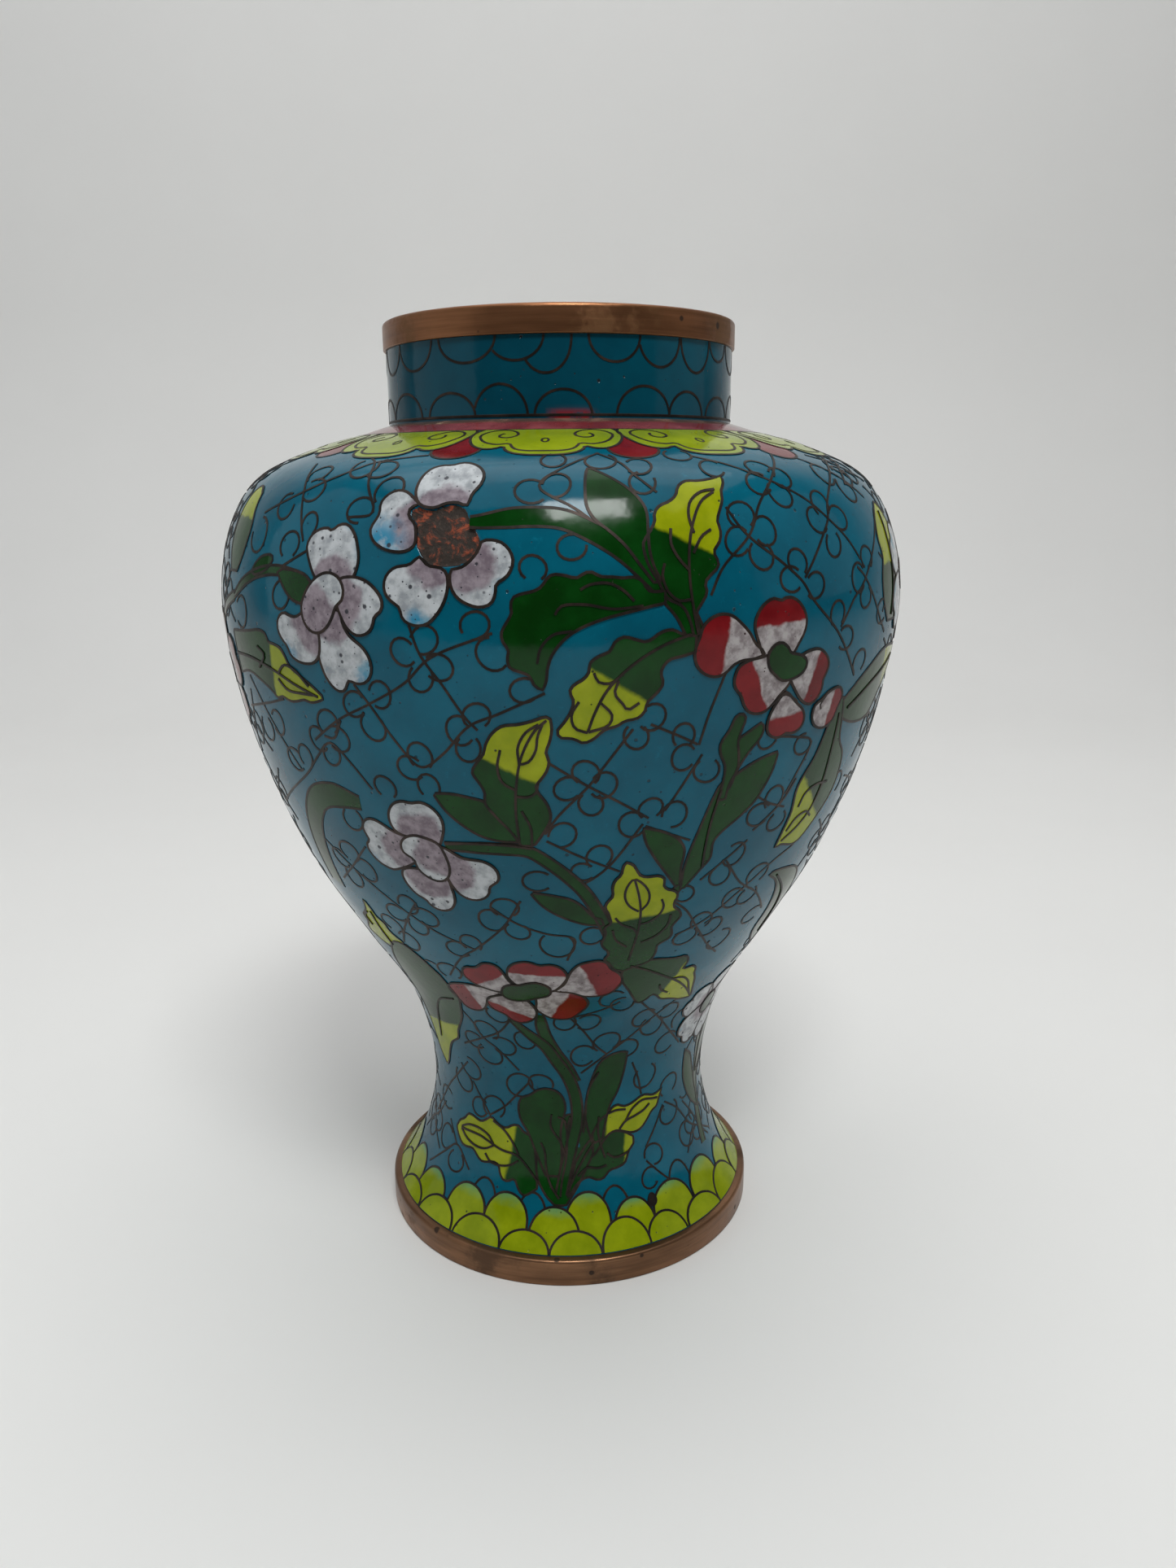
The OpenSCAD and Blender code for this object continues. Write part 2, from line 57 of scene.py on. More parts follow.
def reach(node, corner, axis):
    return round(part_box(node)[corner][axis] / TO_METRES, 2)


HEIGHT = reach("mouth_band", 1, 2)
FOOT_BAND_H = reach("foot_band", 1, 2)
FOOT_R = reach("foot_band", 1, 1)
NECK_Z = reach("neck_enamel", 0, 2)
NECK_R = reach("neck_enamel", 1, 1)
MOUTH_Z = reach("mouth_band", 0, 2)
MOUTH_R = reach("mouth_band", 1, 1)
BELLY_R = reach("ground_enamel", 1, 1)
INNER_R = 34.3
LINING_T = 0.4
COPPER_T = 1
FOOT_STEP = 1.8
STATION_STEPS = 40

# Outline of the body between foot and neck, as [share of belly radius, share of body height]
BODY_SHAPE = [
    [0.52, 0.033], [0.475, 0.078], [0.447, 0.14], [0.462, 0.214], [0.521, 0.293],
    [0.656, 0.384], [0.8, 0.486], [0.911, 0.6], [0.975, 0.707], [1, 0.809],
    [0.962, 0.888], [0.88, 0.94], [0.71, 0.974], [0.6, 0.987],
]


# ---------------------------------------------------------------- curves and the chart of the skin
def spline(points, steps, closed=False):
    """Centripetal curve through points, as many steps between two of them as asked."""
    p = np.array(points, float)
    if closed:
        q = np.vstack([p[-1], p, p[0], p[1]])
    else:
        q = np.vstack([2 * p[0] - p[1], p, 2 * p[-1] - p[-2]])
    t = (np.arange(steps) / steps)[:, None]
    rows = []
    for a, b, c, d in zip(q[:-3], q[1:-2], q[2:-1], q[3:]):
        ab, bc, cd = (max(math.sqrt(np.linalg.norm(v)), 1e-6) for v in (b - a, c - b, d - c))
        leave = bc * ((b - a) / ab - (c - a) / (ab + bc) + (c - b) / bc)
        arrive = bc * ((c - b) / bc - (d - b) / (bc + cd) + (d - c) / cd)
        rows.append(
            (2 * t**3 - 3 * t**2 + 1) * b + (t**3 - 2 * t**2 + t) * leave
            + (3 * t**2 - 2 * t**3) * c + (t**3 - t**2) * arrive
        )
    out = np.vstack(rows)
    return out if closed else np.vstack([out, q[-2]])


def body_stations():
    span = NECK_Z - FOOT_BAND_H
    between = [[r * BELLY_R, FOOT_BAND_H + z * span] for r, z in BODY_SHAPE]
    return [[FOOT_R - FOOT_STEP, FOOT_BAND_H]] + between + [[NECK_R, NECK_Z]]


BODY_PATH = spline(body_stations(), STATION_STEPS)
NECK_PATH = np.column_stack([np.full(20, NECK_R), np.linspace(NECK_Z + 0.01, MOUTH_Z, 20)])
SKIN_PATH = np.vstack([BODY_PATH, NECK_PATH])
RUNS = np.concatenate([[0], np.cumsum(np.linalg.norm(np.diff(SKIN_PATH, axis=0), axis=1))])
NECK_RUN = RUNS[len(BODY_PATH) - 1]
MOUTH_RUN = RUNS[-1]


def path_normals(path):
    way = np.gradient(path, axis=0)
    normal = np.column_stack([way[:, 1], -way[:, 0]])
    return normal / np.linalg.norm(normal, axis=1)[:, None]


NORMALS = np.vstack([path_normals(BODY_PATH), path_normals(NECK_PATH)])


def radius_at(run):
    return np.interp(run, RUNS, SKIN_PATH[:, 0])


def mm_per_degree(run):
    return radius_at(run) * math.pi / 180


def skin(chart, lift):
    """Points in metres at chart places, lifted off the skin."""
    chart = np.asarray(chart, float)
    bearing, run = np.radians(chart[..., 0]), chart[..., 1]
    r = radius_at(run) + lift * np.interp(run, RUNS, NORMALS[:, 0])
    z = np.interp(run, RUNS, SKIN_PATH[:, 1]) + lift * np.interp(run, RUNS, NORMALS[:, 1])
    return np.stack([r * np.sin(bearing), -r * np.cos(bearing), z], -1) * TO_METRES


def step_from(spot, turn, x, y):
    """Chart places x mm right and y mm up from a spot, with the pair turned clockwise by turn."""
    c, s = math.cos(math.radians(turn)), math.sin(math.radians(turn))
    x, y = np.asarray(x, float), np.asarray(y, float)
    return np.stack([spot[0] + (x * c + y * s) / mm_per_degree(spot[1]), spot[1] + y * c - x * s], -1)


def resample(line, step, closed=False):
    """The same chart line with points about step mm apart."""
    line = np.asarray(line, float)
    if closed:
        line = np.vstack([line, line[:1]])
    middle = (line[1:, 1] + line[:-1, 1]) / 2
    scale = np.column_stack([mm_per_degree(middle), np.ones(len(line) - 1)])
    run = np.concatenate([[0], np.cumsum(np.linalg.norm(np.diff(line, axis=0) * scale, axis=1))])
    count = max(3, int(round(run[-1] / step)) + 1)
    at = np.linspace(0, run[-1], count)
    out = np.column_stack([np.interp(at, run, line[:, k]) for k in (0, 1)])
    return out[:-1] if closed else out


# ---------------------------------------------------------------- meshes
class Sheet:
    """Gathers grids of points and turns them into one mesh, with marks that the materials read."""

    def __init__(self):
        self.points, self.quads, self.triangles, self.marks, self.count = [], [], [], [], 0

    def add(self, points, quads, marks, triangles=None):
        self.points.append(points)
        self.quads.append(quads + self.count)
        if triangles is not None:
            self.triangles.append(triangles + self.count)
        self.marks.append(marks)
        self.count += len(points)

    def slab(self, chart, low, high, blend=0.0, tone=0.0, loop=False):
        """A thin closed solid over a grid of chart places: rows along it, columns across it."""
        rows, cols = chart.shape[:2]
        size = rows * cols
        index = np.arange(size).reshape(rows, cols)
        top = skin(chart, np.broadcast_to(high, (rows, cols))).reshape(-1, 3)
        bottom = skin(chart, low).reshape(-1, 3)
        after = np.roll(index, -1, axis=0) if loop else index[1:]
        before = index if loop else index[:-1]
        quads = np.stack([before[:, :-1], before[:, 1:], after[:, 1:], after[:, :-1]], -1).reshape(-1, 4)
        if np.median(chart_area(chart.reshape(-1, 2)[quads])) < 0:
            quads = quads[:, ::-1]
        faces = [quads, quads[:, ::-1] + size, *wall_quads(quads, size)]
        marks = np.zeros((2 * size, 2))
        marks[:, 0] = np.tile(np.broadcast_to(blend, (rows, cols)).ravel(), 2)
        marks[:, 1] = tone
        self.add(np.vstack([top, bottom]), np.vstack(faces), marks)

    def make(self, name, material, sharp=40):
        points, marks = np.vstack(self.points), np.vstack(self.marks)
        faces = [np.vstack(kind) for kind in (self.quads, self.triangles) if kind]
        used = np.unique(np.concatenate([kind.ravel() for kind in faces]))
        renumber = np.zeros(len(points), int)
        renumber[used] = np.arange(len(used))
        mesh = bpy.data.meshes.new(name)
        corners = [face for kind in faces for face in renumber[kind].tolist()]
        mesh.from_pydata(points[used].tolist(), [], corners)
        for k, mark in enumerate(("blend", "tone")):
            values = marks[used, k].astype(np.float32)
            mesh.attributes.new(mark, "FLOAT", "POINT").data.foreach_set("value", values)
        mesh.shade_smooth()
        mesh.set_sharp_from_angle(angle=math.radians(sharp))
        mesh.materials.append(material)
        piece = bpy.data.objects.new(name, mesh)
        bpy.context.scene.collection.objects.link(piece)
        return piece


def chart_area(corners):
    """Signed area of chart quads: positive where the corners run anticlockwise seen from outside."""
    a, b = corners[:, 2] - corners[:, 0], corners[:, 3] - corners[:, 1]
    return a[:, 0] * b[:, 1] - a[:, 1] * b[:, 0]


def wall_quads(quads, size):
    """Quads that close a slab's rim, one for each edge that only one top quad has."""
    a = quads[:, [0, 1, 2, 3]].ravel()
    b = quads[:, [1, 2, 3, 0]].ravel()
    forward = a.astype(np.int64) * size + b
    backward = b.astype(np.int64) * size + a
    rim = ~np.isin(forward, backward)
    return [np.column_stack([b[rim], a[rim], a[rim] + size, b[rim] + size])]


def revolve(outline, steps=256):
    """Points and quads of a closed outline of [radius, z] in mm turned round the axis."""
    outline = np.asarray(outline, float)
    angle = np.linspace(0, 2 * math.pi, steps, endpoint=False)
    r, z = outline[:, 0], outline[:, 1]
    points = np.stack([np.outer(np.sin(angle), r), -np.outer(np.cos(angle), r), np.tile(z, (steps, 1))], -1)
    index = np.arange(steps * len(outline)).reshape(steps, -1)
    nxt, up = np.roll(index, -1, axis=0), np.roll(index, -1, axis=1)
    quads = np.stack([index, nxt, np.roll(nxt, -1, axis=1), up], -1).reshape(-1, 4)
    return points.reshape(-1, 3) * TO_METRES, quads


def turned_piece(name, outline, material, steps=256, sharp=40):
    sheet = Sheet()
    points, quads = revolve(outline, steps)
    sheet.add(points, quads, np.zeros((len(points), 2)))
    return sheet.make(name, material, sharp)


def finish_piece(piece, slot, *nodes):
    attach(piece, "root")
    if nodes:
        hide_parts(*nodes)
    return piece


# ---------------------------------------------------------------- the pattern, as places on the chart
# White petals: [layer, root, outline]
WHITE_PETALS = [
    # Flower left of the middle, on the shoulder
    [1, [-33, 159], [[-36.2, 160], [-38, 163.3], [-38.8, 166], [-37.9, 168], [-36.2, 168.9], [-35, 168.9],
     [-34.4, 168.4], [-33.4, 169.5], [-31.8, 169.7], [-30.2, 168.2], [-29.2, 165.8], [-28.8, 163.5],
     [-29.3, 161], [-31, 158.8], [-34, 158]]],
    [2, [-32, 156], [[-31.8, 160.2], [-29.5, 160.7], [-27.5, 160.2], [-25.8, 158.8], [-24.7, 157],
     [-24.8, 155.2], [-25.9, 154.2], [-26.2, 152.7], [-27, 151.4], [-28.8, 150.8], [-30.3, 151.8],
     [-31.3, 153.6], [-32.2, 156], [-32.6, 158.5]]],
    [2, [-37, 152.5], [[-38.2, 154.5], [-40, 153.3], [-41.5, 153.2], [-43.2, 153.7], [-44.6, 152.5],
     [-44.8, 150.3], [-43.8, 148.6], [-43, 147.8], [-42.4, 146.1], [-41, 145.2], [-39.4, 144.9],
     [-37.6, 145.2], [-36.3, 146.5], [-35.8, 148.5], [-35.8, 150.5], [-36.6, 152.5]]],
    [1, [-33, 154], [[-36, 149.8], [-36.3, 147.5], [-36.1, 145.2], [-35.3, 142.5], [-34, 140.8],
     [-32.9, 140.4], [-31.9, 141.3], [-31.3, 142.8], [-30, 142.2], [-28.3, 142.6], [-27.1, 144.5],
     [-27.2, 147], [-28.3, 149], [-30, 150.4], [-31.2, 152.5], [-31.8, 155], [-33.5, 154.5], [-35.2, 152]]],
    [3, [-36, 153], [[-33.5, 161.2], [-31.9, 160.4], [-31, 158.5], [-31.3, 156.6], [-32.4, 155.5],
     [-32.8, 154.2], [-34, 152], [-35.8, 150.7], [-37.6, 151.2], [-38.7, 153], [-39, 155.2], [-38.2, 157.6],
     [-36.7, 159.8], [-35, 161]]],
    # Flower in the middle of the shoulder, with the chipped heart
    [1, [-16.5, 172], [[-20.4, 173.5], [-21.4, 175.3], [-21.6, 177.5], [-21.2, 180], [-20.2, 181.8],
     [-18.6, 182.5], [-17.2, 182.4], [-16.3, 183.1], [-14.8, 183.2], [-12.7, 181.8], [-11.6, 179.8],
     [-11.7, 177.5], [-12.8, 175.3], [-13.2, 173.2], [-14.8, 173.8], [-16.5, 173.6], [-18, 172.8],
     [-19.2, 172.9]]],
    [1, [-20, 169.5], [[-20.6, 173.5], [-21.7, 174.8], [-23, 175.9], [-24.5, 176.2], [-26, 175.3],
     [-26.8, 173.6], [-26.5, 171.7], [-26.9, 170.6], [-27.5, 168.8], [-26.8, 167], [-25, 165.6],
     [-23, 165.1], [-21.5, 165.2], [-20.2, 166.2], [-20.2, 168.2], [-20.6, 170], [-21.7, 171.2],
     [-21.7, 172.9]]],
    [2, [-17.5, 164], [[-19.3, 164.3], [-20.6, 163], [-22.8, 162.5], [-24, 161.2], [-24.4, 159.3],
     [-23.8, 157.5], [-22.7, 156.5], [-22, 155.9], [-21.5, 154], [-20, 153], [-18.2, 153.2], [-16.7, 154.8],
     [-15.6, 157], [-15.1, 159.5], [-15.3, 161.6], [-16, 162.5], [-18, 162.9]]],
    [2, [-13, 163.5], [[-14.6, 162.3], [-14.8, 160.2], [-14, 158], [-12.6, 156.8], [-10.8, 156.2],
     [-9.3, 156.8], [-8.7, 158.5], [-8.6, 160], [-7.2, 161.2], [-6.4, 163.5], [-6.9, 165.5], [-8.2, 166.9],
     [-10, 167.2], [-10.7, 166.9], [-11.1, 165.4], [-12.4, 163.4], [-13.6, 162.5]]],
    # Flower left of the middle, on the belly
    [1, [-24, 112.5], [[-26.7, 112], [-28.6, 113.1], [-29.2, 115.2], [-28.8, 117.3], [-27.5, 119.2],
     [-25.8, 119.9], [-24.3, 119.7], [-22.5, 120.1], [-20.8, 119.2], [-19.6, 117.3], [-19.4, 115],
     [-20, 112.8], [-20.9, 110.8], [-23, 109.8], [-25, 110.4]]],
    [1, [-27.5, 108.5], [[-26, 112], [-27.8, 112.3], [-29.5, 113], [-31, 114.1], [-33, 114.9],
     [-34.7, 114.2], [-35.6, 112.5], [-35.4, 110.8], [-35, 109.6], [-36, 108.8], [-36.2, 107.3],
     [-35.3, 105.2], [-33.6, 103.8], [-31.8, 103.3], [-30.2, 103.9], [-28, 105], [-26.3, 106.3],
     [-25.5, 109]]],
    [2, [-24.5, 103], [[-29.6, 103.8], [-30.2, 102.3], [-29.9, 100.2], [-28.9, 98.2], [-27.8, 97.2],
     [-26.9, 96.9], [-26.5, 95.8], [-25.5, 94.7], [-23.8, 94.3], [-22, 95], [-20.8, 96.8], [-20.5, 98.8],
     [-20.6, 100.8], [-20.8, 103], [-23, 104], [-26, 104.6], [-28.3, 104.4]]],
    [2, [-20, 105], [[-20.5, 110.6], [-18.6, 109.4], [-17.2, 108.4], [-15.5, 108.2], [-13.8, 108],
     [-12.2, 107], [-11.4, 105.3], [-11.6, 103.5], [-12.8, 102.4], [-13.4, 101.7], [-13.5, 100.6],
     [-14.3, 99.2], [-16, 98.3], [-17.8, 98.4], [-19.3, 99.5], [-20.1, 101], [-20.7, 103], [-21.3, 107]]],
    [3, [-21, 109], [[-25.2, 112.6], [-27.3, 111.6], [-28.3, 109.9], [-28.1, 108.2], [-26.9, 107.3],
     [-26.2, 106.5], [-26.4, 105.5], [-25.6, 103.8], [-24, 102.5], [-22.4, 102.2], [-20.8, 103.2],
     [-20, 105], [-19.9, 107], [-20.2, 109], [-20.9, 111.2], [-23, 112.3]]],
]

# Red petals: [layer, outline, two points of the line where red starts, red on its right]
RED_PETALS = [
    # Flower right of the middle, on the shoulder
    [1, [[28.6, 146.5], [27.4, 149.3], [26.7, 151.8], [27.2, 154], [28.5, 155.7], [30, 156.4],
     [31.2, 155.9], [32.2, 156.4], [33.8, 156], [35.2, 154.5], [36, 152.3], [35.7, 150], [34.8, 148.3],
     [33.8, 146.5], [31, 145.5]], [[37, 152.3], [25, 151.3]]],
    [1, [[28.6, 147], [27, 148.8], [26, 150.7], [24.5, 152.6], [23, 154], [21.5, 154.3], [19.8, 153.6],
     [18.7, 152.2], [18.3, 150.4], [17.8, 149], [17.7, 147], [18.5, 145], [20, 143.8], [21.5, 143.6],
     [22.7, 144.3], [23.6, 145.4], [25, 146.1], [27, 146.2]], [[22.9, 154], [21.9, 143]]],
    [2, [[29.5, 146.6], [28, 146.3], [26.5, 146.1], [24.7, 145.2], [24, 143.2], [24.2, 141.3],
     [25.3, 139.8], [26, 138], [26.8, 136.7], [28.2, 136], [29.8, 136.2], [31, 137.3], [32.2, 139],
     [33.6, 140.6], [34, 142.3], [32, 144.5]], [[26.3, 147], [30.4, 136]]],
    [3, [[33.4, 139.4], [31.9, 137.6], [31, 135.6], [30.7, 133.5], [31.2, 131.8], [32.5, 130.8],
     [33.8, 130.8], [34.7, 131.4], [35.7, 131.1], [36.9, 131.3], [38, 132.3], [38.2, 133.8], [37.5, 135.5],
     [36.3, 136.6], [35.2, 137.7]], [[30, 134.2], [38.5, 135.4]]],
    [2, [[35.8, 146], [37.4, 146.6], [39.3, 146.6], [41, 145.3], [41.9, 143.5], [41.6, 141.8], [41, 140.7],
     [41.2, 139.4], [40.8, 137.8], [39.8, 136.6], [38.5, 136.3], [37, 137.2], [35.6, 138.9], [34.4, 140.8],
     [33.5, 142.5], [34, 145]], [[37.2, 137], [39.8, 147.5]]],
    [3, [[41.6, 136.6], [40.3, 135.9], [40, 133.8], [40.8, 132], [42.3, 131], [44, 130.9], [45.5, 131.8],
     [46.2, 133.3], [46.4, 134.5], [47.1, 135.8], [47, 137.3], [46, 138.4], [44.5, 138.4], [43, 137.8]],
     [[43.4, 130], [44.8, 139.5]]],
    # Flower at the waist
    [1, [[-17, 68.9], [-21, 69.8], [-24.5, 70], [-27, 70], [-30, 69.5], [-33, 68.5], [-34.5, 66.5],
     [-34, 64], [-33, 62.6], [-32.3, 60.7], [-30, 59.8], [-27, 60.2], [-25, 61.5], [-23.5, 63.5],
     [-22.2, 66], [-19, 67.6]], [[-28.3, 71], [-25.6, 59.5]]],
    [2, [[-13.5, 71.8], [-14.6, 74], [-15.3, 76.5], [-16.5, 78.4], [-18, 78.9], [-19.8, 78.6],
     [-21.3, 77.2], [-22.4, 76.7], [-24, 76.7], [-25.8, 75.5], [-26.2, 73.5], [-25, 71.6], [-23, 70.3],
     [-20.5, 69.5], [-17.5, 69], [-14, 69.5]], [[-14, 76], [-25.5, 69.5]]],
    [1, [[-11.8, 71.5], [-13.3, 73], [-14.3, 75], [-13.8, 77.5], [-12.2, 79.4], [-10, 80.3], [-8, 80.2],
     [-6.2, 79.3], [-4, 79.7], [-2, 79], [-0.5, 77.2], [0, 75.4], [-1, 73.3], [-2.6, 71.3], [-5, 70],
     [-9, 70]], [[1, 75.7], [-14.5, 76.3]]],
    [2, [[-3, 70.6], [-0.7, 73.1], [0.3, 76], [1.2, 78], [2.8, 79.7], [5, 80.4], [7.2, 80.6], [8.8, 79.8],
     [9.9, 77.7], [11.5, 76.4], [12.8, 75], [13.4, 73], [12.6, 70.8], [11, 69], [9.5, 68.3], [7, 68.3],
     [4, 68.5], [1.5, 69.8], [-1, 70.3]], [[8.2, 67.5], [2.4, 80.5]]],
    [1, [[-8.5, 65.5], [-8.9, 63.4], [-7.6, 61.9], [-6, 60.7], [-4.5, 60], [-1.5, 59.7], [1.5, 60.3],
     [3, 61.7], [4.3, 63], [5.4, 64.6], [5.5, 66], [4.6, 67.5], [3, 69.3], [1, 70.2], [-1.5, 70.7],
     [-4.5, 70.3], [-8, 68.5]], [[-6, 59], [1.6, 70.8]]],
    [3, [[-17.2, 68], [-19.5, 67.3], [-22, 66], [-23.2, 64], [-22, 61.9], [-19.8, 60.9], [-18.6, 60.3],
     [-17.6, 58.9], [-15.5, 57.9], [-12.8, 58.2], [-10, 59.8], [-8.9, 61.8], [-9.2, 63.8], [-10.5, 66.2],
     [-12, 68], [-15, 68.5]], [[-23.5, 65.4], [-9.5, 59.6]]],
]

# Hearts of the red flowers
HEARTS = [
    [[29.3, 145.3], [29.3, 147], [30.2, 148.3], [31.3, 148.7], [32.6, 147.8], [33.3, 146.6], [34.8, 146.2],
     [36.3, 145.4], [36.8, 144], [36, 142.6], [34.3, 141.8], [32.2, 141.7], [30.9, 142.8], [29.8, 144]],
    [[-17.2, 69], [-16.9, 67.5], [-15.5, 66.6], [-13.5, 66.4], [-11, 66.8], [-8, 67.9], [-5, 68.9],
     [-4.2, 70.2], [-4.5, 71.8], [-6, 73], [-8, 73.5], [-10, 73], [-12, 72.3], [-14.3, 72.2],
     [-16.2, 71.2]],
]

